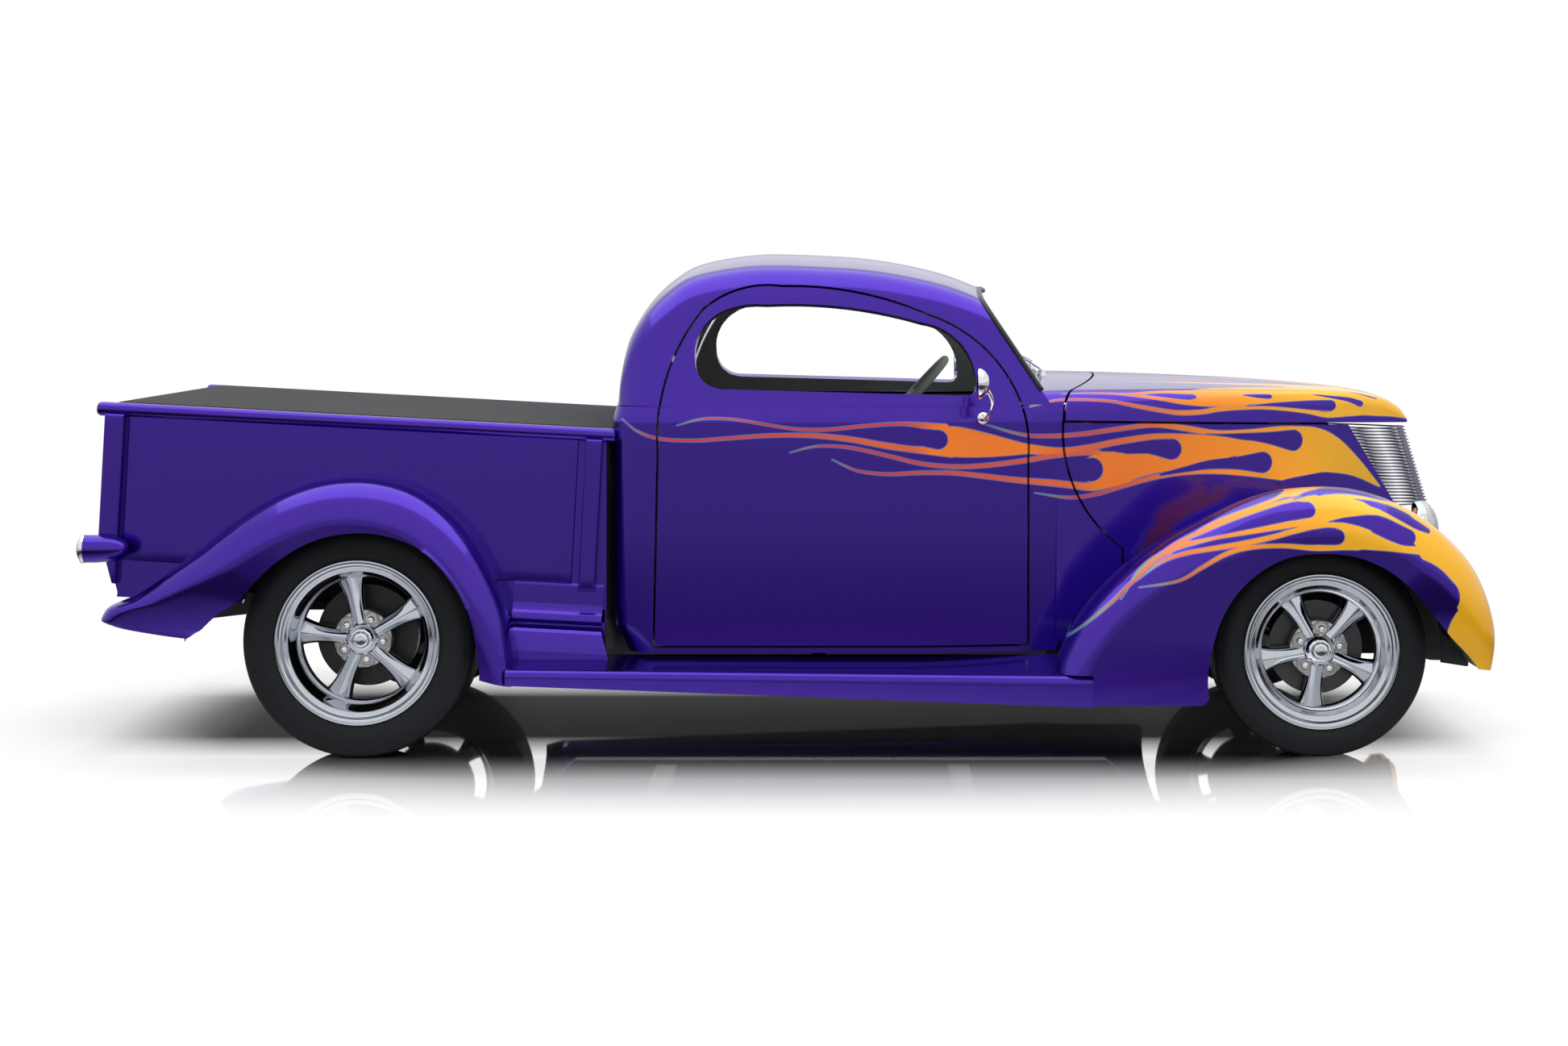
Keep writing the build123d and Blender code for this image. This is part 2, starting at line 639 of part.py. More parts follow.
grille = None
for i in range(GRILLE_BARS):
    z = GRILLE_TOP_Z + (GRILLE_FOOT_Z - GRILLE_TOP_Z) * i / (GRILLE_BARS - 1)
    x_s, y_s, x_c = grille_plan(z, 0)
    x_b, y_b, x_d = grille_plan(z, GRILLE_DEPTH)
    mid = ((x_s + x_c) / 2 + GRILLE_BOW, (y_s + GRILLE_NOSE) / 2)
    mid_b = ((x_b + x_d) / 2 + GRILLE_BOW, (y_b + GRILLE_NOSE) / 2)
    bar = plan_prism([
        ((x_s, -y_s), (mid[0], -mid[1]), (x_c, -GRILLE_NOSE)),
        ((x_c, -GRILLE_NOSE), (x_c + 2, 0), (x_c, GRILLE_NOSE)),
        ((x_c, GRILLE_NOSE), mid, (x_s, y_s)),
        ((x_s, y_s), (x_b, y_b)),
        ((x_b, y_b), mid_b, (x_d, GRILLE_NOSE)),
        ((x_d, GRILLE_NOSE), (x_d, -GRILLE_NOSE)),
        ((x_d, -GRILLE_NOSE), (mid_b[0], -mid_b[1]), (x_b, -y_b)),
        ((x_b, -y_b), (x_s, -y_s)),
    ], z - GRILLE_BAR / 2, z + GRILLE_BAR / 2)
    grille = bar if grille is None else grille + bar


def leaning_post(line, y_of, half_y, depth):
    """Upright running up the grille along an (x, z) line."""
    ends = []
    for z in (GRILLE_FOOT_Z - 4, GRILLE_TOP_Z + 4):
        x = along(line, z)
        y = y_of(x)
        ends.append(Plane.XY.offset(z) * make_face(Polyline(
            (x, y - half_y), (x, y + half_y), (x - depth, y + half_y), (x - depth, y - half_y), close=True)))
    return loft(ends)


centre_back = [(x - 5, z) for x, z in GRILLE_CENTRE]
grille = grille + leaning_post(centre_back, lambda x: 0, 5, 18)
side_back = [(x + 3, z) for x, z in GRILLE_SIDE]
for side in (-1, 1):
    grille = grille + leaning_post(side_back, lambda x: side * (nose_half_width(x) - SHEET - 8), 6, 14)
grille = grille - hood_side_right - mirrored(hood_side_right)

# Front fenders: sections on planes through the wheel axis
# angle, crown radius, lip radius, inner edge y, outer face y, bend radius, crown drop at the inner edge
FRONT_FENDER = [
    (-6.0, 500.0, 458.0, 575.0, 812.0, 22.0, 4.0),
    (9.0, 516.0, 366.0, 540.0, 856.0, 80.0, 10.0),
    (26.0, 518.0, 324.0, 440.0, 878.0, 118.0, 18.0),
    (44.0, 508.0, 310.0, 330.0, 885.0, 130.0, 30.0),
    (66.0, 500.0, 302.0, 220.0, 885.0, 132.0, 48.0),
    (90.0, 500.0, 298.0, 220.0, 885.0, 132.0, 62.0),
    (112.0, 516.0, 308.0, 220.0, 885.0, 132.0, 66.0),
    (130.0, 541.0, 314.0, 300.0, 885.0, 132.0, 62.0),
    (146.0, 600.0, 320.0, 420.0, 885.0, 130.0, 50.0),
    (160.0, 674.0, 326.0, 520.0, 885.0, 124.0, 36.0),
    (174.0, 752.0, 336.0, 580.0, 885.0, 112.0, 22.0),
    (186.0, 806.0, 356.0, 600.0, 884.0, 90.0, 12.0),
    (196.0, 828.0, 384.0, 600.0, 882.0, 60.0, 6.0),
]
REAR_FENDER = [
    (-15.0, 480.0, 382.0, BED_HALF_WIDTH, 880.0, 60.0, 4.0),
    (4.0, 456.0, 358.0, BED_HALF_WIDTH, 884.0, 82.0, 6.0),
    (25.0, 448.0, 351.0, BED_HALF_WIDTH, 885.0, 92.0, 8.0),
    (49.0, 468.0, 348.0, BED_HALF_WIDTH, 885.0, 112.0, 12.0),
    (72.0, 489.0, 336.0, BED_HALF_WIDTH, 885.0, 122.0, 14.0),
    (98.0, 496.0, 327.0, BED_HALF_WIDTH, 885.0, 124.0, 14.0),
    (123.0, 506.0, 325.0, BED_HALF_WIDTH, 885.0, 122.0, 14.0),
    (145.0, 538.0, 335.0, BED_HALF_WIDTH, 882.0, 116.0, 14.0),
    (158.0, 592.0, 352.0, BED_HALF_WIDTH, 874.0, 104.0, 12.0),
    (168.0, 670.0, 398.0, BED_HALF_WIDTH, 858.0, 84.0, 8.0),
    (176.5, 740.0, 452.0, BED_HALF_WIDTH, 836.0, 50.0, 4.0),
]


def fender(axle_x, axle_z, table):
    """Fender sheet lofted over its sections round a wheel."""
    sections = []
    for angle, crown, lip, y_in, y_out, bend, drop in table:
        plane = radial_plane(axle_x, axle_z, angle)
        inner, corner, edge = (crown - drop, -y_in), (crown, -y_out - 5), (lip, -y_out)
        sections.append(bent_sheet(plane, inner, corner, edge, bend, FENDER_SHEET))
    return loft(sections)


def board_section(x):
    """Running board section at x: crest by the cab, round outer edge."""
    share = (x - BOARD_REAR_X) / (BOARD_FRONT_X - BOARD_REAR_X)
    top = BOARD_EDGE_TOP_Z + 9 - 19 * share
    foot = top - BOARD_REAR_DEPTH - (BOARD_FRONT_DEPTH - BOARD_REAR_DEPTH) * share
    y_edge, y_in = -BOARD_EDGE_Y, -BOARD_INNER_Y
    plane = Plane(origin=(x, 0, 0), x_dir=(0, 1, 0), z_dir=(1, 0, 0))
    return line_arc_face(plane, [
        ((y_in, BOARD_CREST_Z), (y_edge + 24, top + 4)),
        ((y_edge + 24, top + 4), (y_edge + 6, top - 4), (y_edge, top - 20)),
        ((y_edge, top - 20), (y_edge, foot)),
        ((y_edge, foot), (y_edge + 10, foot)),
        ((y_edge + 10, foot), (y_edge + 10, top - 22)),
        ((y_edge + 10, top - 22), (y_in, BOARD_CREST_Z - 36)),
        ((y_in, BOARD_CREST_Z - 36), (y_in, BOARD_CREST_Z)),
    ])


front_fender = fender(FRONT_AXLE_X, FRONT_TYRE_RADIUS, FRONT_FENDER)
hood_region = plan_prism([
    ((700, -cab_side_y(700, CAB_HALF_WIDTH)), outer_arc[0]),
    tuple(outer_arc),
    (outer_arc[2], (NOSE_X, -NOSE_HALF_WIDTH)),
    ((NOSE_X, -NOSE_HALF_WIDTH), (NOSE_X, 0)),
    ((NOSE_X, 0), (700, 0)),
    ((700, 0), (700, -cab_side_y(700, CAB_HALF_WIDTH))),
], 0, 1200)
running_board = loft([board_section(BOARD_REAR_X - 14), board_section(BOARD_FRONT_X)])
keep_fender = block((780, 2400), (-WIDE, 0), (170, 1200))
front_fender = (front_fender - hood_region) & keep_fender
board_edge_z = BOARD_EDGE_TOP_Z - 4
below_board = extrude(line_arc_face(Plane(origin=(700, 0, 0), x_dir=(0, 1, 0), z_dir=(1, 0, 0)), closed([
    (-WIDE, 0), (0, 0), (0, BOARD_CREST_Z + 2), (-BOARD_INNER_Y, BOARD_CREST_Z + 2),
    (-BOARD_EDGE_Y + 24, board_edge_z), (-WIDE, board_edge_z)])), BOARD_FRONT_X - 700)
front_fender = one(front_fender - below_board)
rear_fender = fender(REAR_AXLE_X, REAR_TYRE_RADIUS, REAR_FENDER)
running_board = one(running_board - rear_fender)

# Headlamps set into the fender fronts
LAMP_PLACE = Pos(*LAMP_CENTRE) * Rot(0, -LAMP_TILT, 0)


def turned(points):
    """Solid turned about its own X axis from (x, radius) points that start and end on the axis."""
    return revolve(Plane.XY * make_face(Wire([Line(*p) for p in closed(points)])), Axis.X)


lamp_bucket = LAMP_PLACE * turned([(-30, 0), (-30, 52), (20, LAMP_RADIUS), (44, LAMP_RADIUS), (44, 0)])
lens_face = make_face(Wire([
    Line((44, 0), (44, LAMP_RADIUS - 6)), ThreePointArc((44, LAMP_RADIUS - 6), (72, 48), (81, 8)),
    Line((81, 8), (81, 0)), Line((81, 0), (44, 0))]))
lamp_lens = LAMP_PLACE * revolve(Plane.XY * lens_face, Axis.X)
front_fender = one(front_fender - lamp_bucket - lamp_lens)

# Pickup bed
BED_PIVOT = (BED_FRONT_X, 0, BED_BOTTOM_Z)
BED_REAR_X = BED_FRONT_X - BED_LENGTH


def raked(shape):
    """Tip a level bed piece nose-down about the lower front edge of the bed."""
    px, py, pz = BED_PIVOT
    return Pos(px, py, pz) * Rot(0, BED_RAKE, 0) * Pos(-px, -py, -pz) * shape


TAILGATE_HINGE_X = BED_REAR_X + 15
TAILGATE_HINGE_Z = BED_BOTTOM_Z + TAILGATE_SILL
BED_INNER_Y = BED_HALF_WIDTH - BED_WALL
POST_FRONT_X = BED_FRONT_X - 50
POST_REAR_X = BED_REAR_X + 34
RAIL_LINE_Y = BED_HALF_WIDTH - 4

side_front_x = BED_FRONT_X + 40
bed_side = block((BED_REAR_X, side_front_x), (-BED_HALF_WIDTH, -BED_INNER_Y), (BED_BOTTOM_Z, BED_TOP_Z))
pan_corner = side_prism([
    ((BED_REAR_X - 1, TAILGATE_HINGE_Z - 20), (BED_REAR_X - 1, BED_BOTTOM_Z - 1)),
    ((BED_REAR_X - 1, BED_BOTTOM_Z - 1), (BED_REAR_X + 110, BED_BOTTOM_Z - 1)),
    ((BED_REAR_X + 110, BED_BOTTOM_Z - 1), (BED_REAR_X + 28, BED_BOTTOM_Z + 60),
     (BED_REAR_X - 1, TAILGATE_HINGE_Z - 20)),
], -720, 0)
bed_side = bed_side - pan_corner
bed_side = bed_side + Pos((BED_REAR_X + side_front_x) / 2, -RAIL_LINE_Y, BED_TOP_Z) * Rot(0, 90, 0) * Cylinder(
    BED_RAIL_RADIUS, side_front_x - BED_REAR_X)
for post_x, foot_z in ((POST_FRONT_X, BED_BOTTOM_Z + 4), (POST_REAR_X, BED_BOTTOM_Z + 96)):
    bed_side = bed_side + block((post_x - POST_WIDTH / 2, post_x + POST_WIDTH / 2),
                                (-BED_HALF_WIDTH - POST_PROUD, -BED_HALF_WIDTH), (foot_z, BED_TOP_Z))
tailgate_pin = rod(HINGE_PIN_RADIUS, -BED_INNER_Y - 5, -BED_INNER_Y + TAILGATE_PIN_REACH,
                   TAILGATE_HINGE_X, TAILGATE_HINGE_Z)
behind_cab = block((-2400, BED_SIDE_FRONT_X), (-WIDE, WIDE), (0, 1400))
bed_side = one(raked(bed_side + tailgate_pin) & behind_cab)

gate_y = BED_INNER_Y - 6
tailgate = block((BED_REAR_X, BED_REAR_X + 28), (-gate_y, gate_y), (TAILGATE_HINGE_Z + 6, BED_TOP_Z))
tailgate = tailgate + rod(TAILGATE_BARREL, -gate_y, gate_y, TAILGATE_HINGE_X, TAILGATE_HINGE_Z)
tailgate = tailgate + rod(BED_RAIL_RADIUS - 3, -gate_y, gate_y, BED_REAR_X + 14, BED_TOP_Z)
for side in (-1, 1):
    y_end = side * (BED_INNER_Y - 5)
    tailgate = tailgate - rod(HINGE_PIN_RADIUS + PIN_CLEARANCE, y_end, y_end - side * (TAILGATE_PIN_REACH + 4),
                              TAILGATE_HINGE_X, TAILGATE_HINGE_Z)
tailgate = one(raked(tailgate))

pan_strip = [
    ((BED_REAR_X, TAILGATE_HINGE_Z - 24), (BED_REAR_X + 29, BED_BOTTOM_Z + 60),
     (BED_REAR_X + 110, BED_BOTTOM_Z)),
    ((BED_REAR_X + 110, BED_BOTTOM_Z), (BED_REAR_X + 116, BED_BOTTOM_Z + 8)),
    ((BED_REAR_X + 116, BED_BOTTOM_Z + 8), (BED_REAR_X + 38, BED_BOTTOM_Z + 66),
     (BED_REAR_X + 10, TAILGATE_HINGE_Z - 24)),
    ((BED_REAR_X + 10, TAILGATE_HINGE_Z - 24), (BED_REAR_X, TAILGATE_HINGE_Z - 24)),
]
roll_pan = raked(side_prism(pan_strip, -BED_INNER_Y, BED_INNER_Y))

bed_front_panel = block((BED_FRONT_X - 20, BED_FRONT_X), (-BED_INNER_Y, BED_INNER_Y), (BED_BOTTOM_Z, BED_TOP_Z))
bed_front_panel = raked(bed_front_panel)
VALANCE_Z = BOARD_CREST_Z + 6
bed_valance = side_prism(closed([
    (BOARD_REAR_X - 10, VALANCE_Z), (BED_FRONT_X + 24, VALANCE_Z), (BED_FRONT_X + 24, BED_BOTTOM_Z + 200),
    (BOARD_REAR_X - 10, BED_BOTTOM_Z + 200)]), -BED_HALF_WIDTH, -BED_INNER_Y)
below_bed = raked(block((BED_REAR_X, BED_FRONT_X + 60), (-720, 0), (BED_BOTTOM_Z - 300, BED_BOTTOM_Z)))
bed_valance = bed_valance & below_bed
bed_floor = block((BED_REAR_X + 46, BED_FRONT_X - 20), (-BED_INNER_Y, BED_INNER_Y),
                  (BED_FLOOR_Z, BED_FLOOR_Z + BED_PLANK))
for sill_x in (-1020.0, -1480.0, -1800.0):
    bed_floor = bed_floor + block((sill_x - 35, sill_x + 35), (-RAIL_Y - 60, RAIL_Y + 60),
                                  (BED_FLOOR_Z - 80, BED_FLOOR_Z))
bed_floor = raked(bed_floor)

for side in (-1, 1):
    y_far, y_near = side * BED_INNER_Y, side * WHEEL_TUB_Y
    hollow = rod(WHEEL_TUB_RADIUS - WHEEL_TUB_SHEET, side * 720, y_near + side * WHEEL_TUB_SHEET,
                 REAR_AXLE_X, REAR_TYRE_RADIUS)
    cover_box = rod(WHEEL_TUB_RADIUS, y_far, y_near, REAR_AXLE_X, REAR_TYRE_RADIUS)
    cover_box = cover_box & raked(block((BED_REAR_X, BED_FRONT_X), (-720, 720), (BED_FLOOR_Z, BED_TOP_Z)))
    bed_floor = (bed_floor + cover_box) - hollow
    bed_side = bed_side - hollow

# Taut cloth cover laid over the rails
cover_z = BED_TOP_Z + COVER_REST
cover = block((BED_REAR_X + 6, BED_FRONT_X - 2), (-BED_HALF_WIDTH, BED_HALF_WIDTH),
              (cover_z, cover_z + COVER_THICKNESS))
tonneau_cover = raked(cover)
tonneau_cover = one(tonneau_cover - bed_side - mirrored(bed_side) - bed_front_panel)

# Ladder frame
rail_low = [
    (RAIL_REAR_X, RAIL_BOTTOM_Z + RAIL_REAR_RISE - 40), (-1560.0, RAIL_BOTTOM_Z + RAIL_REAR_RISE),
    (-960.0, RAIL_BOTTOM_Z + RAIL_REAR_RISE), (-730.0, RAIL_BOTTOM_Z), (1060.0, RAIL_BOTTOM_Z),
    (1230.0, RAIL_BOTTOM_Z + RAIL_FRONT_RISE), (RAIL_FRONT_X, RAIL_BOTTOM_Z + RAIL_FRONT_RISE)]
rail_outline = rail_low + [(x, z + RAIL_HEIGHT) for x, z in reversed(rail_low)]
rail_out_y = RAIL_Y + RAIL_WIDTH / 2
rail_in_y = RAIL_Y - RAIL_WIDTH / 2
rail = side_prism(closed(rail_outline), -rail_out_y, -rail_in_y)
bed_floor = one(bed_floor - rail - mirrored(rail))

BOARD_INNER_BRACKET_Z = (BOARD_CREST_Z - 34, BOARD_CREST_Z - 2)
crossmembers = []
for member_x, low in ((1790.0, RAIL_BOTTOM_Z + RAIL_FRONT_RISE + 10), (560.0, RAIL_BOTTOM_Z + 10),
                      (-420.0, RAIL_BOTTOM_Z + 10), (-1840.0, RAIL_BOTTOM_Z + RAIL_REAR_RISE - 20)):
    crossmembers.append(block((member_x - 35, member_x + 35), (-rail_in_y, rail_in_y), (low, low + 70)))
for bracket_x in (-620.0, 100.0, 820.0):
    for side in (-1, 1):
        crossmembers.append(block((bracket_x - 20, bracket_x + 20),
                                  sorted((side * rail_out_y, side * BOARD_INNER_Y)), BOARD_INNER_BRACKET_Z))

# Axles, springs and knuckles
FRONT_HUB_Z = FRONT_TYRE_RADIUS
REAR_HUB_Z = REAR_TYRE_RADIUS
EYE_SPAN = (FRONT_HUB_Z - 38, FRONT_HUB_Z + 38)
SPRING_Y = rail_out_y + 6 + SPRING_WIDTH / 2

yz_plane = Plane(origin=(FRONT_AXLE_X - 24, 0, 0), x_dir=(0, 1, 0), z_dir=(1, 0, 0))
beam_foot_z = BEAM_TOP_Z - BEAM_HEIGHT
beam_half = [(0, BEAM_TOP_Z), (440, BEAM_TOP_Z), (520, FRONT_HUB_Z + 30), (KINGPIN_Y, FRONT_HUB_Z + 30),
             (KINGPIN_Y, FRONT_HUB_Z - 30), (540, FRONT_HUB_Z - 30), (460, beam_foot_z), (0, beam_foot_z)]
beam = extrude(line_arc_face(yz_plane, closed(beam_half)), 48)
front_axle = beam + mirrored(beam)
for side in (-1, 1):
    place = Pos(FRONT_AXLE_X, side * KINGPIN_Y, FRONT_HUB_Z)
    front_axle = front_axle + place * Cylinder(EYE_RADIUS, EYE_SPAN[1] - EYE_SPAN[0])
    front_axle = front_axle + place * Cylinder(KINGPIN_RADIUS, 170)
    pad_y = sorted((side * (SPRING_Y - 26), side * (SPRING_Y + 20)))
    front_axle = front_axle + block((FRONT_AXLE_X - 34, FRONT_AXLE_X + 34), pad_y,
                                    (BEAM_TOP_Z - 20, BEAM_TOP_Z + 20))


def leaf_spring(axle_x, pad_z, half_length, end_rise):
    """Leaf spring pack on the axle pad, its eyes bolted to the outer side of the rail."""
    back, front = axle_x - half_length, axle_x + half_length
    end_low = pad_z + end_rise
    end_high = end_low + SPRING_END
    outline = [
        ((back, end_low), (axle_x - 40, pad_z)),
        ((axle_x - 40, pad_z), (axle_x + 40, pad_z)),
        ((axle_x + 40, pad_z), (front, end_low)),
        ((front, end_low), (front, end_high)),
        ((front, end_high), (axle_x, pad_z + SPRING_THICKNESS), (back, end_high)),
        ((back, end_high), (back, end_low)),
    ]
    out_y = -SPRING_Y - SPRING_WIDTH / 2
    spring = side_prism(outline, out_y, -SPRING_Y + SPRING_WIDTH / 2)
    for eye_x in (back, front):
        spring = spring + rod(SPRING_EYE, out_y, -rail_out_y, eye_x, end_low + SPRING_END / 2)
    return spring


front_spring = leaf_spring(FRONT_AXLE_X, BEAM_TOP_Z + 20, 270.0, 76.0)
REAR_PAD_Z = REAR_HUB_Z + 46
rear_spring = leaf_spring(REAR_AXLE_X, REAR_PAD_Z, 460.0, 60.0)

REAR_BACK_PLATE_Y = REAR_TYRE_FACE_Y - REAR_DISH - 96
rear_axle = rod(REAR_TUBE, -REAR_BACK_PLATE_Y, REAR_BACK_PLATE_Y, REAR_AXLE_X, REAR_HUB_Z)
rear_axle = rear_axle + Pos(REAR_AXLE_X, 0, REAR_HUB_Z) * Sphere(128)
rear_axle = rear_axle + Pos(REAR_AXLE_X + 150, 0, REAR_HUB_Z) * Rot(0, 90, 0) * Cylinder(46, 120)
for side in (-1, 1):
    plate_y = side * REAR_BACK_PLATE_Y
    pad_y = sorted((side * (SPRING_Y - 20), side * (SPRING_Y + 20)))
    rear_axle = rear_axle + rod(BRAKE_RADIUS + 12, plate_y - side * 40, plate_y, REAR_AXLE_X, REAR_HUB_Z)
    rear_axle = rear_axle + rod(SPINDLE_RADIUS, plate_y, plate_y + side * 76, REAR_AXLE_X, REAR_HUB_Z)
    rear_axle = rear_axle + block((REAR_AXLE_X - 34, REAR_AXLE_X + 34), pad_y, (REAR_HUB_Z, REAR_PAD_Z))

HUB_FACE_Y = FRONT_TYRE_FACE_Y - FRONT_DISH
FORK_Y = (KINGPIN_Y + 36, KINGPIN_Y + 50)
knuckle = block((FRONT_AXLE_X - 34, FRONT_AXLE_X + 34), (-FORK_Y[1], -KINGPIN_Y + 32),
                (FRONT_HUB_Z - 82, FRONT_HUB_Z + 82))
knuckle = knuckle - block((FRONT_AXLE_X - 40, FRONT_AXLE_X + 40), (-FORK_Y[0], -KINGPIN_Y + 40),
                          (EYE_SPAN[0] - 5, EYE_SPAN[1] + 5))
knuckle = knuckle - Pos(FRONT_AXLE_X, -KINGPIN_Y, FRONT_HUB_Z) * Cylinder(KINGPIN_RADIUS + PIN_CLEARANCE, 200)
knuckle = knuckle + rod(SPINDLE_RADIUS, -FORK_Y[0] - 5, -HUB_FACE_Y + 24, FRONT_AXLE_X, FRONT_HUB_Z)
knuckle_right = one(knuckle)

# Wheels


def about_axle(points):
    """Solid turned about Y from (radius, y) points."""
    return revolve(Plane.XY * make_face(Wire([Line(*p) for p in closed(points)])), Axis.Y)


def tyre(radius, width, rim_radius, face_y):
    """Plain tyre at the origin's axle, outer face at -face_y."""
    out, back = -face_y, -face_y + width
    bulge = rim_radius + (radius - rim_radius) * 0.5
    return about_axle([
        (rim_radius, out + RIM_EDGE), (rim_radius + 10, out + RIM_EDGE), (bulge, out), (radius, out + 32),
        (radius, back - 32), (bulge, back), (rim_radius + 10, back - RIM_EDGE), (rim_radius, back - RIM_EDGE)])


def rim(width, rim_radius, face_y, dish):
    """Barrel with flanges, hub with cap and five tapered spokes."""
    out, back = -face_y, -face_y + width
    hub_y = out + dish
    barrel = about_axle([
        (rim_radius + 8, out + 2), (rim_radius + 8, out + RIM_EDGE), (rim_radius, out + RIM_EDGE),
        (rim_radius, back - RIM_EDGE), (rim_radius + 8, back - RIM_EDGE), (rim_radius + 8, back - 2),
        (rim_radius - RIM_WALL, back - 2), (rim_radius - 2.2 * RIM_WALL, hub_y + 40),
        (rim_radius - 2.2 * RIM_WALL, out + 26), (rim_radius - RIM_WALL, out + 2)])
    hub = about_axle([(0, hub_y - 14), (20, hub_y - 14), (27, hub_y), (HUB_RADIUS, hub_y + 6),
                      (HUB_RADIUS, hub_y + 60), (0, hub_y + 60)])
    spoke_ends = ((HUB_RADIUS - 8, SPOKE_HUB_WIDTH / 2, hub_y + 6),
                  (rim_radius - 1.6 * RIM_WALL, SPOKE_RIM_WIDTH / 2, hub_y))
    wheel = barrel + hub
    for i in range(SPOKES):
        angle = 90 + i * 360 / SPOKES
        sections = []
        for reach, half, y_front in spoke_ends:
            plane = radial_plane(0, 0, angle)
            place = Plane(origin=plane.x_dir * reach, x_dir=(0, 1, 0), z_dir=plane.x_dir)
            sections.append(line_arc_face(place, [
                ((y_front + SPOKE_DEPTH, -half), (y_front + 8, -half)),
                ((y_front + 8, -half), (y_front - 4, 0), (y_front + 8, half)),
                ((y_front + 8, half), (y_front + SPOKE_DEPTH, half)),
                ((y_front + SPOKE_DEPTH, half), (y_front + SPOKE_DEPTH, -half))]))
        wheel = wheel + (loft(sections) - Rot(90, 0, 0) * Cylinder(20, 1000))
    bore = Pos(0, hub_y + 50, 0) * Rot(90, 0, 0) * Cylinder(SPINDLE_RADIUS + PIN_CLEARANCE, 60)
    return one(wheel - bore)


def brake_disc(face_y, dish):
    """Disc with a raised hat behind the wheel hub."""
    hub_y = -face_y + dish
    return about_axle([
        (SPINDLE_RADIUS + 1, hub_y + 60), (72, hub_y + 60), (72, hub_y + 68), (BRAKE_RADIUS, hub_y + 68),
        (BRAKE_RADIUS, hub_y + 88), (SPINDLE_RADIUS + 1, hub_y + 88)])


at_front = Pos(FRONT_AXLE_X, 0, FRONT_HUB_Z)
at_rear = Pos(REAR_AXLE_X, 0, REAR_HUB_Z)
tyre_front = at_front * tyre(FRONT_TYRE_RADIUS, FRONT_TYRE_WIDTH, FRONT_RIM_RADIUS, FRONT_TYRE_FACE_Y)
tyre_rear = at_rear * tyre(REAR_TYRE_RADIUS, REAR_TYRE_WIDTH, REAR_RIM_RADIUS, REAR_TYRE_FACE_Y)
rim_front = at_front * rim(FRONT_TYRE_WIDTH, FRONT_RIM_RADIUS, FRONT_TYRE_FACE_Y, FRONT_DISH)
rim_rear = at_rear * rim(REAR_TYRE_WIDTH, REAR_RIM_RADIUS, REAR_TYRE_FACE_Y, REAR_DISH)
disc_front = at_front * brake_disc(FRONT_TYRE_FACE_Y, FRONT_DISH)

# Engine and radiator
engine_block = block((930, 1430), (-210, 210), (BEAM_TOP_Z + 90, 900))
engine_block = engine_block + block((880, 930), (-170, 170), (340, 700))
engine_block = engine_block + block((COWL_X + 14, 880), (-110, 110), (345, 560))
mount_low = RAIL_BOTTOM_Z + RAIL_FRONT_RISE
engine_block = engine_block + block((1260, 1360), (-rail_in_y, rail_in_y), (mount_low + 40, mount_low + 90))
radiator = block((1600, 1660), (-210, 210), (mount_low + RAIL_HEIGHT, 860))
radiator = radiator + block((1610, 1650), (-rail_out_y, rail_out_y),
                            (mount_low + RAIL_HEIGHT, mount_low + RAIL_HEIGHT + 30))

# Cab interior
seat = side_prism(closed([(-360, CAVITY_FLOOR_Z), (130, CAVITY_FLOOR_Z), (160, 470), (150, 590), (-200, 560),
                          (-330, 1000), (-420, 1000), (-400, 480)]), -SEAT_HALF_WIDTH, SEAT_HALF_WIDTH)
dash_front_x = COWL_X - WALL
dash_outline = [(640, 930), (dash_front_x, 930), (dash_front_x, 1026), (668, 1026), (640, 1000)]
dashboard = side_prism(closed(dash_outline), -DASH_HALF_WIDTH, DASH_HALF_WIDTH)
steering_place = Pos(STEERING_CENTRE[0], STEERING_Y, STEERING_CENTRE[1]) * Rot(0, 90 + STEERING_LEAN, 0)
column = steering_place * (Pos(0, 0, 290) * Cylinder(22, 540) + Pos(0, 0, 10) * Cylinder(10, 40))
steering_column = one(column & block((0, COWL_X - WALL), (0, 700), (0, 2000)))
steering_column = one(steering_column - dashboard)
steering_wheel = Torus(STEERING_RADIUS, STEERING_RIM) + Pos(0, 0, 2) * Cylinder(34, 30)
for angle in (90, 210, 330):
    arm = Pos(STEERING_RADIUS / 2, 0, 0) * Box(STEERING_RADIUS, 26, 8)
    steering_wheel = steering_wheel + Rot(0, 0, angle) * arm
steering_wheel = steering_wheel - Pos(0, 0, 15) * Cylinder(10 + PIN_CLEARANCE, 50)
steering_wheel = steering_place * steering_wheel

# Door mirrors on swan-neck posts


def bar_between(a, b, radius):
    """Round bar between two points."""
    a, b = Vector(*a), Vector(*b)
    return Plane(origin=a, z_dir=b - a) * Pos(0, 0, (b - a).length / 2) * Cylinder(radius, (b - a).length)


base_x, base_y, base_z = MIRROR_BASE
mirror_post = bar_between((base_x, base_y + 30, base_z), MIRROR_ELBOW, MIRROR_POST)
mirror_post = mirror_post + Pos(*MIRROR_ELBOW) * Sphere(MIRROR_POST)
mirror_post = mirror_post + bar_between(MIRROR_ELBOW, MIRROR_HEAD, MIRROR_POST)
mirror_post = mirror_post + rod(MIRROR_FOOT, base_y - 13, base_y + 17, base_x, base_z)
mirror_head = turned([(-10, 0), (-10, MIRROR_RADIUS), (4, MIRROR_RADIUS), (22, 24), (26, 0)])
mirror_right = mirror_post + Pos(*MIRROR_HEAD) * mirror_head
mirror_right = one(mirror_right - tub - roof_shell)

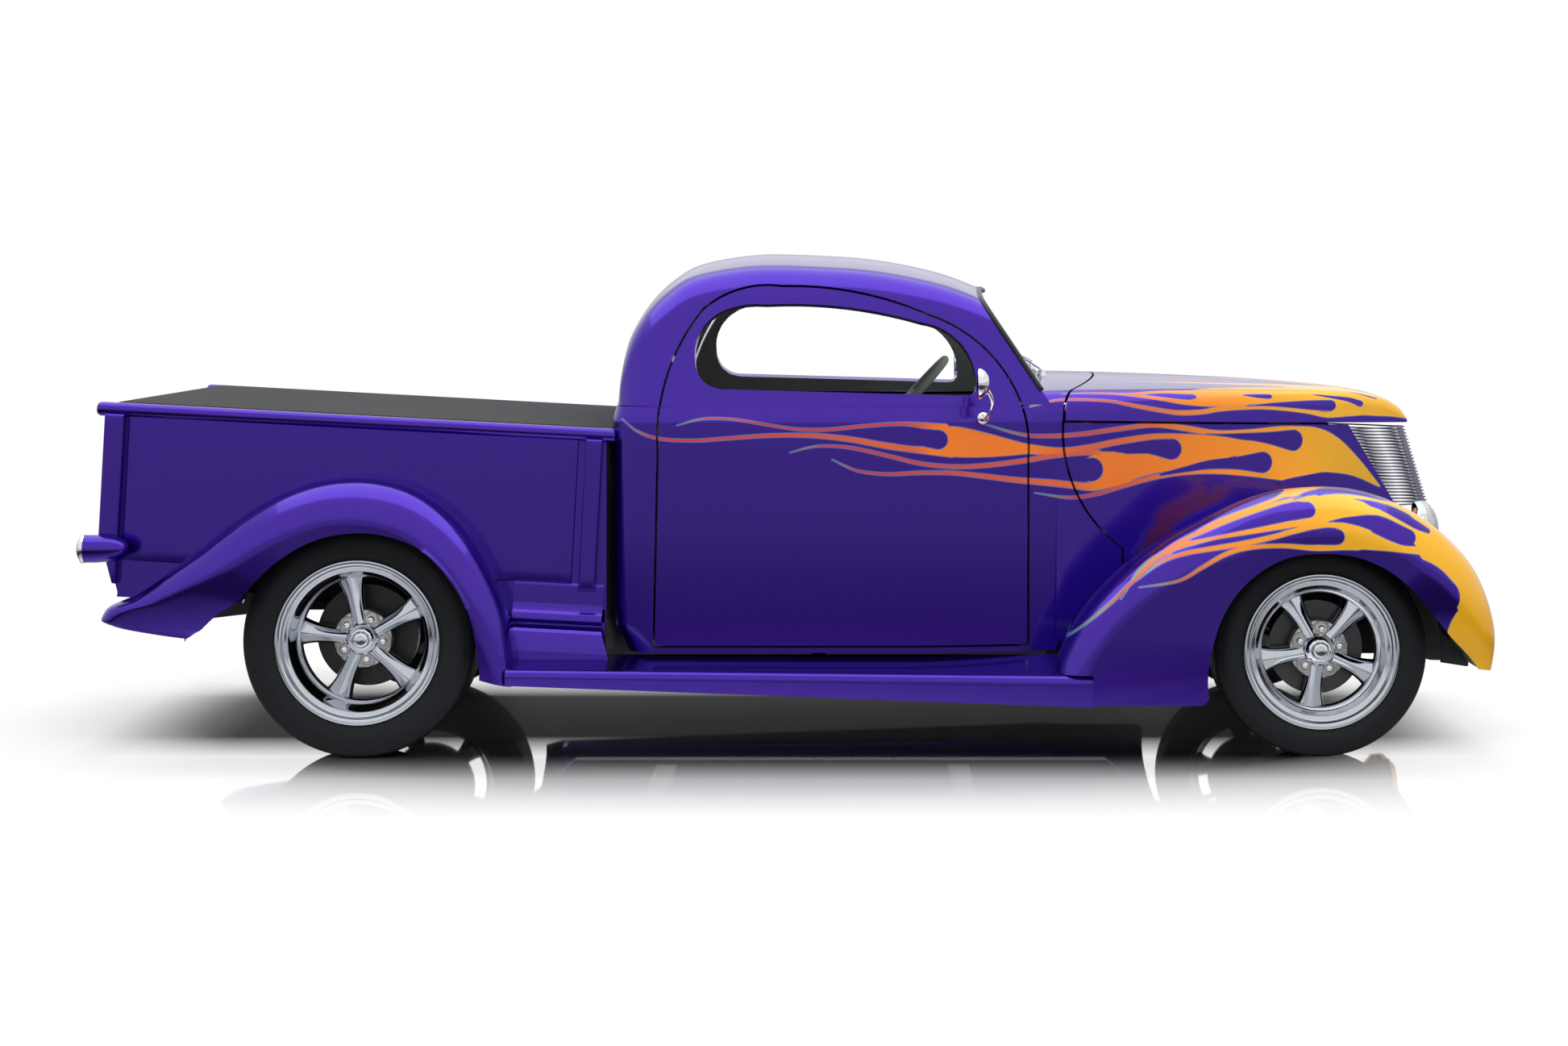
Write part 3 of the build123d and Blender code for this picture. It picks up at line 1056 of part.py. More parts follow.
# Tail lights: turned housings on the rear posts
LIGHT_Y = BED_HALF_WIDTH + POST_PROUD + 46
light_place = Pos(LIGHT_REAR_X, -LIGHT_Y, LIGHT_Z)
tail_cone = [(0, 0), (0, LIGHT_RADIUS), (40, LIGHT_RADIUS), (90, 36), (122, 24), (134, 0)]
tail_housing = light_place * turned(tail_cone)
tail_housing = tail_housing + rod(13, -LIGHT_Y, -BED_HALF_WIDTH + 4, LIGHT_REAR_X + 84, LIGHT_Z)
tail_housing = one(tail_housing - bed_side)
tail_lens = light_place * turned([(0, 0), (-16, 0), (-12, 20), (0, LIGHT_RADIUS - 5)])

# Front pan between the fenders, below the grille
front_pan = side_prism(closed([(1900, 686), (1912, 686), (1990, 420), (1900, 340), (RAIL_FRONT_X, 346),
                               (RAIL_FRONT_X, 354), (1896, 350), (1978, 422)]), -FRONT_PAN_Y, FRONT_PAN_Y)
front_pan = front_pan - front_fender - mirrored(front_fender) - hood_side_right - mirrored(hood_side_right)
front_pan = one(front_pan - grille)


def both(shape):
    """A right-hand solid and its mirror image."""
    return Compound([one(shape), one(mirrored(shape))])


nodes = {
    "frame_rails": both(rail),
    "crossmembers": Compound(crossmembers),
    "engine_block": engine_block,
    "radiator": radiator,
    "front_axle": front_axle,
    "rear_axle": rear_axle,
    "front_springs": both(front_spring),
    "rear_springs": both(rear_spring),
    "cab_lower": cab_lower,
    "cab_roof": cab_roof,
    "cab_floor": cab_floor,
    "cowl_top": cowl_top,
    "windshield": windshield,
    "rear_window": rear_window,
    "seat": seat,
    "dashboard": dashboard,
    "steering_column": steering_column,
    "steering_wheel": steering_wheel,
    "door_right": door_right,
    "door_left": door_left,
    "mirror_right": mirror_right,
    "mirror_left": mirrored(mirror_right),
    "hood": hood,
    "hood_sides": both(hood_side_right),
    "grille": grille,
    "front_pan": front_pan,
    "front_fenders": both(front_fender),
    "headlight_buckets": both(lamp_bucket),
    "headlight_lenses": both(lamp_lens),
    "running_boards": both(running_board),
    "rear_fenders": both(rear_fender),
    "bed_sides": both(bed_side),
    "bed_valances": both(bed_valance),
    "bed_front_panel": bed_front_panel,
    "bed_floor": bed_floor,
    "tailgate": tailgate,
    "roll_pan": roll_pan,
    "tonneau_cover": tonneau_cover,
    "tail_light_housings": both(tail_housing),
    "tail_light_lenses": both(tail_lens),
    "knuckle_right": knuckle_right,
    "knuckle_left": mirrored(knuckle_right),
    "tyre_front_right": tyre_front,
    "tyre_front_left": mirrored(tyre_front),
    "tyre_rear_right": tyre_rear,
    "tyre_rear_left": mirrored(tyre_rear),
    "rim_front_right": rim_front,
    "rim_front_left": mirrored(rim_front),
    "rim_rear_right": rim_rear,
    "rim_rear_left": mirrored(rim_rear),
    "brake_disc_right": disc_front,
    "brake_disc_left": mirrored(disc_front),
}
os.makedirs("parts", exist_ok=True)
for name, shape in nodes.items():
    export_step(shape, "parts/" + name + ".step")
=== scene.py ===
"""Dressed scene of the custom pickup truck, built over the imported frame.

Shapes are worked out in millimetres, X forward, Y left, Z up, and turned into metres when a mesh is made.
Right-hand panels lie at negative Y and are mirrored for the left.
"""
import math

import bpy
import numpy as np
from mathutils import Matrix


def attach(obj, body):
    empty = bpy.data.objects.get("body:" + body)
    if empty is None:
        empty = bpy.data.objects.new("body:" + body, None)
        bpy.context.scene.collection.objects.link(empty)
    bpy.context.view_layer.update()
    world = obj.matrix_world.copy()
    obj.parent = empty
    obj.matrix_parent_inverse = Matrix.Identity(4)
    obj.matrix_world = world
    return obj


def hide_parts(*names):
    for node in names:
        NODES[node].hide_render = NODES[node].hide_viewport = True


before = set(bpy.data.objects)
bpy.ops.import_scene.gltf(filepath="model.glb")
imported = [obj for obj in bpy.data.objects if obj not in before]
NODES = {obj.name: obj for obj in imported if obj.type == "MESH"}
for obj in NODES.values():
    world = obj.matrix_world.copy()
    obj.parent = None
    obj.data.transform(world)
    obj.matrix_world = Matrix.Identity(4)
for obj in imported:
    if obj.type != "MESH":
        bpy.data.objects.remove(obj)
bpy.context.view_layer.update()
MM = 0.001

# Cab and cowl, the same sizes as the solids
CAB_HALF_WIDTH = 735.0
CAB_BACK_X = -517.0
CAB_CORNER = 85.0
CAB_TAPER_X = 300.0
CAB_TAPER_RADIUS = 2080.0
COWL_X = 828.0
BELT_Z = 1035.0
PANEL_GAP = 7.0
# height, taken in from the widest, back edge taken forward
CAB_LEVELS = np.array([(303, 12, 45), (383, 9, 4), (700, 2, 0), (985, 0, 0), (1035, 14, 9)], float)
# station x, half width at the belt, height of the roof corner, corner radius, crown angle
ROOF_STATIONS = np.array([
    (-512, 560, 1037, 6, 1), (-509, 575, 1042, 18, 2), (-500, 622, 1118, 60, 6), (-478, 655, 1214, 100, 8),
    (-436, 684, 1292, 125, 8), (-366, 704, 1364, 135, 8), (-274, 712, 1416, 130, 8),
    (-52, 714, 1447, 125, 8), (200, 712, 1437, 120, 8), (445, 702, 1397, 115, 8), (615, 690, 1336, 105, 8),
    (800, 668, 1222, 90, 8)], float)
ROOF_BASE_Z = BELT_Z - 20
TUMBLEHOME = 0.231
# x from which the cab stays below the cowl, and the height of that cut
CAB_UNDER_COWL = (731.0, 992.0)
WINDSHIELD_TOP = (659.0, 1330.0)
WINDSHIELD_FOOT = (785.0, 1144.0)
WINDSHIELD_SWEEP = 54.0 / 600.0
# rear window: half length of its straight edges, height of its middle, radius of its ends
REAR_GLASS_STRAIGHT = 270.0
REAR_GLASS_Z = 1190.0
REAR_GLASS_RADIUS = 60.0
REAR_GLASS_LIMIT_X = -380.0
DOOR_OUTLINE = [
    ((-387, 325), (-374, 900)), ((-374, 900), (-335, 1168), (-245, 1322)),
    ((-245, 1322), (-150, 1377), (-10, 1390)), ((-10, 1390), (240, 1366), (430, 1304)),
    ((430, 1304), (606, 1195), (694, 1065)), ((694, 1065), (718, 985), (723, 880)),
    ((723, 880), (723, 325))]
WINDOW_OUTLINE = [
    ((-270, 1172), (-252, 1262), (-190, 1318)), ((-190, 1318), (-130, 1336), (-60, 1338)),
    ((-60, 1338), (230, 1324), (410, 1284)), ((410, 1284), (530, 1218), (572, 1100)),
    ((572, 1100), (566, 1076), (540, 1066)), ((540, 1066), (-190, 1086)),
    ((-190, 1086), (-247, 1112), (-270, 1172))]

# Nose
NOSE_X = 1993.0
NOSE_X_SPAN = ((690, 1880, 124), (1880, 1990, 22))
NOSE_V_SPAN = ((0, 1, 15), (1, 2, 14), (2, 3, 48))
NOSE_MIDDLE = (1200, 0, 800)
COWL_BACK_X = 730.0
COWL_FOOT_Z = 990.0
COWL_SIDE_TOP_Z = 985.0
COWL_SETBACK = 14.0
HOOD_SIDE_X_SPAN = (812, 1945, 124)
HOOD_SIDE_Z_SPAN = ((325, 720, 24), (720, 990, 36))
HOOD_SIDE_MIDDLE = (1300, 0, 700)
HOOD_RIM = 12.0
PANEL_RIM = 14.0
NOSE_HALF_WIDTH = 60.0
NOSE_BULGE = 60.0
NOSE_BASE_Z = 925.0
NOSE_LEAN = 0.10
NOSE_CROWN = 7.0
HOOD_LINE = (992.0, 955.0)
HOOD_EDGE_BOW = 145.0
# station x, height at the centre, corner radius
NOSE_STATIONS = np.array([
    (690, 1112, 70), (828, 1114, 70), (1099, 1108, 66), (1360, 1098, 60), (1622, 1082, 54), (1779, 1066, 46),
    (1883, 1045, 38), (1962, 1006, 28), (1990, 972, 14)], float)
HOOD_SIDE_OUTLINE = [
    ((836, 985), (866, 800), (1021, 603)), ((1021, 603), (1021, 520)), ((1021, 520), (1940, 520)),
    ((1940, 520), (1940, 700)), ((1940, 700), (1772, 955))]
COWL_SIDE_OUTLINE = [
    ((828, 985), (858, 800), (1013, 603)), ((1013, 603), (1013, 330)), ((1013, 330), (812, 330)),
    ((812, 330), (812, 985))]

# Fenders and what is under them
FRONT_AXLE = (1586.0, 315.0)
REAR_AXLE = (-1259.0, 343.0)
FRONT_ARCH_MIDDLE = (FRONT_AXLE[0], -700, FRONT_AXLE[1])
REAR_ARCH_MIDDLE = (REAR_AXLE[0], -700, REAR_AXLE[1])
FRONT_FENDER_FOOT_Z = 170.0
FRONT_FENDER_BACK_X = 782.0
# angle, crown radius, lip radius, inner edge y, outer face y, bend radius, crown drop inwards
FRONT_FENDER = np.array([
    (-6, 500, 458, 575, 812, 22, 4), (9, 516, 366, 540, 856, 80, 10), (26, 518, 324, 440, 878, 118, 18),
    (44, 508, 310, 330, 885, 130, 30), (66, 500, 302, 220, 885, 132, 48), (90, 500, 298, 220, 885, 132, 62),
    (112, 516, 308, 220, 885, 132, 66), (130, 541, 314, 300, 885, 132, 62),
    (146, 600, 320, 420, 885, 130, 50), (160, 674, 326, 520, 885, 124, 36),
    (174, 752, 334, 580, 885, 112, 22), (186, 806, 348, 600, 884, 90, 12), (196, 828, 362, 600, 882, 60, 6),
    (203, 850, 370, 600, 882, 60, 6)], float)
# centre and radius of the rounding at the front fender's lower rear corner
FENDER_CORNER = (1211.0, 204.0, 34.0)
REAR_FENDER = np.array([
    (-15, 480, 382, 690, 880, 60, 4), (4, 456, 358, 690, 884, 82, 6), (25, 448, 351, 690, 885, 92, 8),
    (49, 468, 348, 690, 885, 112, 12), (72, 489, 336, 690, 885, 122, 14), (98, 496, 327, 690, 885, 124, 14),
    (123, 506, 325, 690, 885, 122, 14), (145, 538, 335, 690, 882, 116, 14),
    (158, 592, 352, 690, 874, 104, 12), (168, 676, 404, 690, 858, 84, 8),
    (172.6, 750, 428, 690, 846, 62, 6), (174.8, 757, 443, 690, 838, 46, 4),
    (176, 716, 460, 690, 832, 36, 4), (177.2, 612, 478, 690, 826, 24, 3),
    (178.2, 506, 494, 690, 822, 3, 2)], float)
# Black panels that close the nose beside the front wheels, and the x and height of their lower edge
APRON_Y = 436.0
APRON_X = (1700.0, 2014.0)
APRON_FOOT = ((1895.0, 1985.0), (262.0, 241.0))
APRON_DROP = 34.0
LINER_RADIUS = 400.0
SPLASH_Y = 590.0
SPLASH_X = (1980.0, 2064.0)
SPLASH_FOOT = ((1940.0, 2070.0), (262.0, 242.0))
SPLASH_DROP = 16.0
LAMP_CENTRE = np.array((1903.0, -600.0, 670.0))
LAMP_SCALE = 0.8
LAMP_RADIUS = 88.0 * LAMP_SCALE
LAMP_TILT = 10.0

# Bed, in its own level frame before it is raked about the pivot
BED_RAKE = 3.05
BED_PIVOT = (-562.0, 428.0)
BED_FACE_Y = 690.0
BED_FRONT_LIMIT = -534.0
BED_SIDE_X = (-2050.0, -522.0)
BED_SIDE_Z = (390.0, 948.0)
BED_WALL = 30.0
BED_PAN_CORNER = ((-2051, 578), (-2022, 488), (-1991, 389))
WHEEL_TUB = 378.0
RAIL_Y = 686.0
RAIL_Z = 948.0
# x along the rail and its radius there
RAIL_ENDS = (
    (-2084.0, 12.0), (-2081.0, 17.0), (-2075.0, 20.5), (-2064.0, 21.0), (-540.0, 21.0), (-533.0, 19.0))
PANEL_X = (-1988.0, -642.0)
PANEL_Z = (500.0, 944.0)
PANEL_PROUD = 5.0
REAR_STAKE = ((-2053.0, -1994.0), (432.0, 936.0))
FRONT_STAKE = ((-619.0, -569.0), (484.0, 936.0))
STAKE_PROUD = 36.0
# distance out and height of the stepped sill between the bed and the running board
SILL_PROFILE = (
    (692, 502), (696, 498), (697, 494), (698, 440), (700, 428), (706, 419), (714, 411), (719, 402),
    (720, 394), (716, 389), (706, 386), (700, 381), (700, 375), (708, 371), (720, 366), (729, 357),
    (735, 345), (740, 325), (744, 302), (746, 276))
SILL_X = (-812.0, -545.0)
# height where the sill's front end begins to flare, and the flare at its foot
SILL_FLARE = (371.0, 33.0)

# Wheels: axle, outer face y, width, rim radius, depth of the spokes, angle of the first spoke
WHEELS = {
    "front": (FRONT_AXLE, 790.0, 205.0, 222.0, 46.0, 119.0),
    "rear": (REAR_AXLE, 802.0, 255.0, 236.0, 88.0, 102.0),
}
SPOKES = 5
LUG_CIRCLE = 62.0

# Running boards
BOARD_X = (-814.0, 905.0)
BOARD_EDGE_Y = 878.0
BOARD_INNER_Y = 690.0
BOARD_CREST_Z = 294.0
BOARD_TOP_Z = 271.0
BOARD_FALL = 19.0
BOARD_DEPTH = 44.0
BOARD_ROLL = 24.0
# distance out, height of the fender's foot over the board
BOARD_SLOPE = ((690.0, 854.0), (296.0, 258.0))

# Tail lamps, mirrors and wipers on the right side
TAIL_LAMP = (-2078.0, -760.0, 616.0)
TAIL_STEM = ((-1994, -700, 616), (-1994, -725, 616), (-1994, -758, 616))
MIRROR_FOOT = (590.0, -722.0, 1000.0)
MIRROR_HEAD = (578.0, -838.0, 1108.0)
MIRROR_ARM = ((590, -712, 1000), (600, -770, 1006), (612, -815, 1048), (600, -832, 1082), MIRROR_HEAD)
WIPER_PIVOT = (800.0, 230.0, 1112.0)
WIPER_ARM = ((800, 230, 1128), (768, 330, 1148), (735, 430, 1168))
WIPER_BLADE = ((762, 300, 1158), (735, 420, 1172), (704, 540, 1186))

# Black sheet in the gap between the cab and the bed, painted shade where the gap lies in shadow
GAP_Y = -630.0
GAP_REAR_X = -564.0
GAP_Z = (290.0, 940.0)
# height and x of the shade sheet's front edge
GAP_FRONT = ((330, 400), (-474, -508))

# Soft pieces: the cover in the bed's level frame, and the seat's section as x and height
COVER_X = (-564.0, -2044.0)
COVER_TOP = 971.0
COVER_HALF = 669.0
COVER_TURN_DOWN = 11.0
COVER_SAG = 2.2
SEAT_HALF_WIDTH = 556.0
SEAT_PLEATS = 14
SEAT_PLEAT_DEPTH = 5.0
SEAT_PROFILE = (
    (120, 345), (152, 420), (158, 520), (140, 580), (60, 590), (-80, 572), (-180, 566), (-222, 600),
    (-262, 720), (-310, 880), (-338, 970), (-368, 998), (-402, 985), (-412, 900))

# Flames: strokes of (x, height, half width); licks add paint and islands take it away
SIDE_LICKS = [
    [(1885, 755, 2.5), (1795, 820, 28), (1705, 865, 57), (1635, 880, 72), (1550, 881, 70)],
    [(1635, 919, 34), (1540, 948, 9), (1430, 942, 8.5), (1320, 942, 8.5), (1215, 960, 8), (1115, 972, 6.5),
     (1000, 962, 6), (885, 949, 5.5), (785, 945, 5), (700, 952, 3.5), (580, 987, 0.5)],
    [(1550, 871, 44), (1430, 888, 27), (1320, 908, 25), (1215, 931, 11), (1115, 936, 8.5), (1010, 925, 8.5),
     (910, 908, 8.5), (825, 899, 10), (725, 907, 14.5), (670, 912, 23), (590, 921, 36), (515, 930, 44),
     (465, 934, 42)],
    [(475, 971, 13), (360, 984, 5), (245, 979, 4.5), (130, 968, 4), (35, 969, 3.5), (-60, 983, 3),
     (-155, 998, 2.5), (-245, 999, 2), (-320, 980, 0.5)],
    [(495, 906, 21), (400, 907, 9.5), (305, 919, 8.5), (205, 937, 7.5), (110, 948, 6.5), (15, 951, 5.5),
     (-80, 948, 5), (-175, 941, 4.5), (-270, 935, 4), (-370, 940, 3.5), (-435, 961, 2.5),
     (-485, 998, 0.5)],
    [(1375, 890, 20), (1270, 877, 25), (1165, 858, 25), (1075, 851, 34), (1000, 838, 46), (950, 834, 46)],
    [(1000, 867, 24), (935, 891, 9.5), (875, 893, 7.5), (785, 884, 7), (710, 872, 6.5), (590, 859, 6),
     (495, 857, 5.5), (400, 867, 5), (305, 890, 4.5), (205, 912, 4), (130, 919, 3), (75, 915, 2),
     (15, 899, 0.5)],
    [(975, 803, 17), (920, 791, 12), (860, 797, 9.5), (785, 806, 9), (690, 815, 7.5), (590, 828, 6.5),
     (495, 838, 5.5), (400, 839, 5), (305, 835, 4), (225, 843, 3), (180, 859, 2), (140, 879, 0.5)],
    [(1540, 807, 17.5), (1430, 816, 10), (1320, 826, 8.5), (1215, 826, 8), (1115, 813, 7), (1010, 788, 6),
     (935, 768, 5), (850, 760, 3.5), (745, 776, 0.5)],
    [(1330, 895, 24), (1270, 896, 34), (1205, 894, 38)],
    [(1560, 868, 62), (1500, 846, 36)],
    [(1680, 836, 26), (1600, 822, 22), (1540, 809, 18)],
    [(1010, 843, 46), (940, 842, 46)],
    [(500, 932, 42), (450, 937, 38)],
]
SIDE_ISLANDS = [
    [(1577, 912, 34), (1497, 922, 20), (1415, 930, 11), (1335, 936, 5), (1282, 940, 2.5)],
    [(1173, 897, 33), (1100, 906, 22), (1023, 903, 12), (948, 898, 3.5)],
    [(1472, 847, 34), (1388, 848, 21), (1295, 846, 15), (1216, 834, 10), (1138, 821, 5)],
    [(920, 842, 37), (848, 845, 27), (774, 847, 22), (727, 846, 19)],
    [(456, 937, 30), (379, 948, 25), (303, 954, 17), (226, 958, 11.5), (149, 958, 5)],
]
FENDER_LICKS = [
    [(2064, 225, 44), (2048, 290, 62), (2026, 362, 86), (2038, 438, 66), (2010, 497, 58), (1962, 568, 56),
     (1904, 633, 54)],
    [(1898, 615, 35), (1864, 622, 14), (1807, 627, 10), (1752, 639, 17), (1696, 652, 29), (1655, 660, 33),
     (1630, 662, 30)],
    [(1715, 640, 18), (1645, 638, 13), (1550, 631, 8), (1455, 637, 6), (1360, 632, 6), (1290, 613, 6),
     (1220, 574, 5), (1150, 535, 3.5), (1037, 515, 0.5)],
    [(1700, 680, 14), (1640, 694, 9), (1584, 699, 8), (1540, 692, 8), (1484, 679, 7.5), (1432, 664, 7),
     (1338, 643, 7), (1244, 627, 6), (1173, 613, 5), (1102, 586, 3), (1030, 533, 0.5)],
    [(1870, 650, 30), (1850, 668, 14), (1807, 700, 6), (1752, 728, 7), (1712, 738, 12), (1668, 748, 25),
     (1620, 747, 33), (1580, 742, 35), (1556, 725, 24), (1531, 708, 11), (1473, 698, 9), (1417, 688, 8),
     (1361, 679, 8), (1305, 669, 7), (1249, 658, 7), (1166, 634, 6), (1100, 605, 5), (1040, 560, 3.5),
     (984, 480, 0.5)],
    [(1909, 645, 31), (1880, 700, 14), (1863, 719, 10), (1807, 745, 6), (1752, 763, 5), (1696, 774, 5.5),
     (1650, 776, 9), (1610, 770, 20)],
    [(1909, 645, 31), (1876, 704, 18), (1838, 742, 14), (1790, 774, 12), (1752, 789, 11), (1696, 802, 11),
     (1640, 808, 12), (1584, 811, 14), (1530, 806, 18), (1500, 795, 18)],
    [(1500, 790, 14), (1467, 778, 5), (1439, 765, 4), (1383, 745, 4), (1327, 725, 3.5), (1272, 702, 3.5),
     (1216, 672, 3), (1160, 634, 2.5), (1100, 590, 1.5), (1040, 540, 0.5)],
    [(1560, 768, 12), (1506, 769, 5), (1461, 760, 4.5), (1417, 747, 4.5), (1361, 728, 4.5),
     (1305, 707, 4.5), (1249, 683, 4.5), (1194, 659, 4.5), (1138, 630, 4.5), (1079, 585, 4.5),
     (1010, 521, 4), (949, 462, 3.5), (808, 342, 0.5)],
]
FENDER_ISLANDS = [
    [(1915, 486, 59), (1868, 533, 57), (1786, 568, 50), (1690, 580, 47)],
    [(1824, 661, 23), (1752, 691, 26), (1696, 706, 18), (1640, 711, 9), (1590, 707, 2)],
    [(1612, 663, 24), (1573, 664, 25), (1528, 662, 20), (1473, 653, 10), (1428, 647, 2)],
    [(1531, 740, 23.5), (1473, 733, 25), (1417, 718, 22), (1361, 702, 18), (1305, 686, 14), (1249, 668, 9),
     (1194, 651, 4)],
    [(1467, 797, 12), (1417, 784, 16), (1361, 765, 17)],
    [(1813, 754, 2.5), (1752, 769, 4.5), (1696, 782, 6), (1640, 790, 8), (1584, 789, 9), (1540, 782, 5),
     (1495, 768, 2)],
    [(1889, 676, 8), (1852, 695, 13), (1807, 721, 14), (1752, 747, 11), (1707, 762, 5), (1673, 769, 1.5)],
]
# On the hood the height is the way up from the hood line and over the shoulder
HOOD_LICKS = [
    [(1985, 45, 28), (1930, 80, 56), (1860, 105, 78), (1760, 120, 84), (1640, 125, 78), (1520, 122, 60),
     (1400, 112, 46), (1300, 100, 30), (1255, 94, 16)],
    [(1850, 60, 30), (1770, 40, 15), (1697, 30, 9), (1631, 42, 8), (1557, 50, 6.5), (1475, 55, 6),
     (1402, 53, 6), (1330, 49, 8), (1277, 39, 7.5), (1207, 35, 7.5), (1155, 40, 6.5), (1070, 55, 6.5),
     (986, 75, 5.5), (902, 84, 5.5), (821, 82, 5), (755, 60, 3.5), (671, 30, 0.5)],
    [(1420, 76, 15), (1349, 68, 9.5), (1278, 69, 11), (1208, 75, 10), (1156, 85, 8), (1073, 104, 7.5),
     (988, 118, 6), (897, 121, 4), (830, 118, 0.5)],
    [(1520, 150, 40), (1400, 148, 34), (1310, 140, 24), (1248, 128, 14), (1205, 128, 11.5),
     (1158, 130, 9.5), (1108, 125, 8), (1050, 116, 6), (990, 118, 4)],
    [(1740, 190, 40), (1620, 230, 34), (1470, 260, 24), (1320, 290, 14), (1170, 320, 7), (1030, 345, 3),
     (920, 360, 0.5)],
    [(1800, 220, 30), (1700, 320, 30), (1590, 400, 26), (1430, 460, 17), (1270, 520, 9), (1120, 590, 4),
     (1010, 640, 0.5)],
]
HOOD_ISLANDS = [
    [(1709, 63, 21), (1641, 64, 18), (1567, 65, 12), (1492, 64, 6), (1420, 59, 2)],
    [(1497, 100, 13), (1458, 103, 11), (1413, 108, 4.5)],
    [(1246, 98, 12), (1211, 102, 12), (1158, 109, 10), (1108, 112, 4.5)],
    [(1816, 70, 13), (1775, 86, 11), (1719, 97, 7.5), (1653, 110, 3)],
    [(1877, 97, 5), (1829, 117, 5), (1782, 137, 3)],
]


# Curves and outlines
def smooth_through(xs, ys, at):
    """Cubic that passes through the points without overshoot, at the wanted places."""
    step = np.diff(xs)
    rise = np.diff(ys) / step
    slope = np.zeros(len(xs))
    same = rise[:-1] * rise[1:] > 0
    w1 = 2 * step[1:] + step[:-1]
    w2 = step[1:] + 2 * step[:-1]
    with np.errstate(divide="ignore", invalid="ignore"):
        slope[1:-1] = np.where(same, (w1 + w2) / (w1 / rise[:-1] + w2 / rise[1:]), 0)
    slope[0], slope[-1] = rise[0], rise[-1]
    i = np.clip(np.searchsorted(xs, at) - 1, 0, len(xs) - 2)
    h = step[i]
    t = (at - xs[i]) / h
    return ((2 * t ** 3 - 3 * t ** 2 + 1) * ys[i] + (t ** 3 - 2 * t ** 2 + t) * h * slope[i]
            + (3 * t ** 2 - 2 * t ** 3) * ys[i + 1] + (t ** 3 - t ** 2) * h * slope[i + 1])


def arc_through(a, middle, b, count):
    """Points on the arc through three points."""
    (ax, ay), (mx, my), (bx, by) = a, middle, b
    d = 2 * (ax * (my - by) + mx * (by - ay) + bx * (ay - my))
    a2, m2, b2 = ax * ax + ay * ay, mx * mx + my * my, bx * bx + by * by
    cx = (a2 * (my - by) + m2 * (by - ay) + b2 * (ay - my)) / d
    cy = (a2 * (bx - mx) + m2 * (ax - bx) + b2 * (mx - ax)) / d
    start = math.atan2(ay - cy, ax - cx)
    turn = (math.atan2(by - cy, bx - cx) - start) % (2 * math.pi)
    if (math.atan2(my - cy, mx - cx) - start) % (2 * math.pi) > turn:
        turn -= 2 * math.pi
    radius = math.hypot(ax - cx, ay - cy)
    angles = start + turn * np.linspace(0, 1, count)
    return np.column_stack([cx + radius * np.cos(angles), cy + radius * np.sin(angles)])


def outline_points(segments, per_arc=14):
    """Corner points of an outline whose segments are lines of two points and arcs of three."""
    pieces = []
    for segment in segments:
        if len(segment) == 2:
            pieces.append(np.array(segment, float)[:1])
        else:
            pieces.append(arc_through(*segment, per_arc)[:-1])
    pieces.append(np.array([segments[-1][-1]], float))
    return np.vstack(pieces)


def inside_by(points, polygon):
    """Distance from each 2-D point to a closed polygon, positive inside."""
    x, y = points[:, 0], points[:, 1]
    nearest = np.full(len(points), 1e12)
    inside = np.zeros(len(points), bool)
    for (ax, ay), (bx, by) in zip(polygon, np.roll(polygon, -1, axis=0)):
        ex, ey = bx - ax, by - ay
        length = ex * ex + ey * ey
        if length < 1e-9:
            continue
        t = np.clip(((x - ax) * ex + (y - ay) * ey) / length, 0, 1)
        nearest = np.minimum(nearest, (x - ax - t * ex) ** 2 + (y - ay - t * ey) ** 2)
        if ay != by:
            inside ^= ((ay > y) != (by > y)) & (x < ex * (y - ay) / (by - ay) + ax)
    return np.where(inside, 1, -1) * np.sqrt(nearest)


# Skins: points and polygons in millimetres
def spans(*parts):
    """Rising values from parts of (start, end, count), each starting where the one before ends."""
    return np.concatenate([np.linspace(*parts[0])] + [np.linspace(*part)[1:] for part in parts[1:]])


def quads(index):
    """Four-cornered polygons between the neighbours in a grid of point numbers."""
    corners = [index[:-1, :-1], index[1:, :-1], index[1:, 1:], index[:-1, 1:]]
    return np.stack(corners, -1).reshape(-1, 4).tolist()


def grid_faces(columns, rows):
    return quads(np.arange(columns * rows).reshape(columns, rows))


def grid_skin(surface, u, v):
    """Skin of a surface over two lists of parameters."""
    uu, vv = np.meshgrid(u, v, indexing="ij")
    return surface(uu.ravel(), vv.ravel()), grid_faces(len(u), len(v))


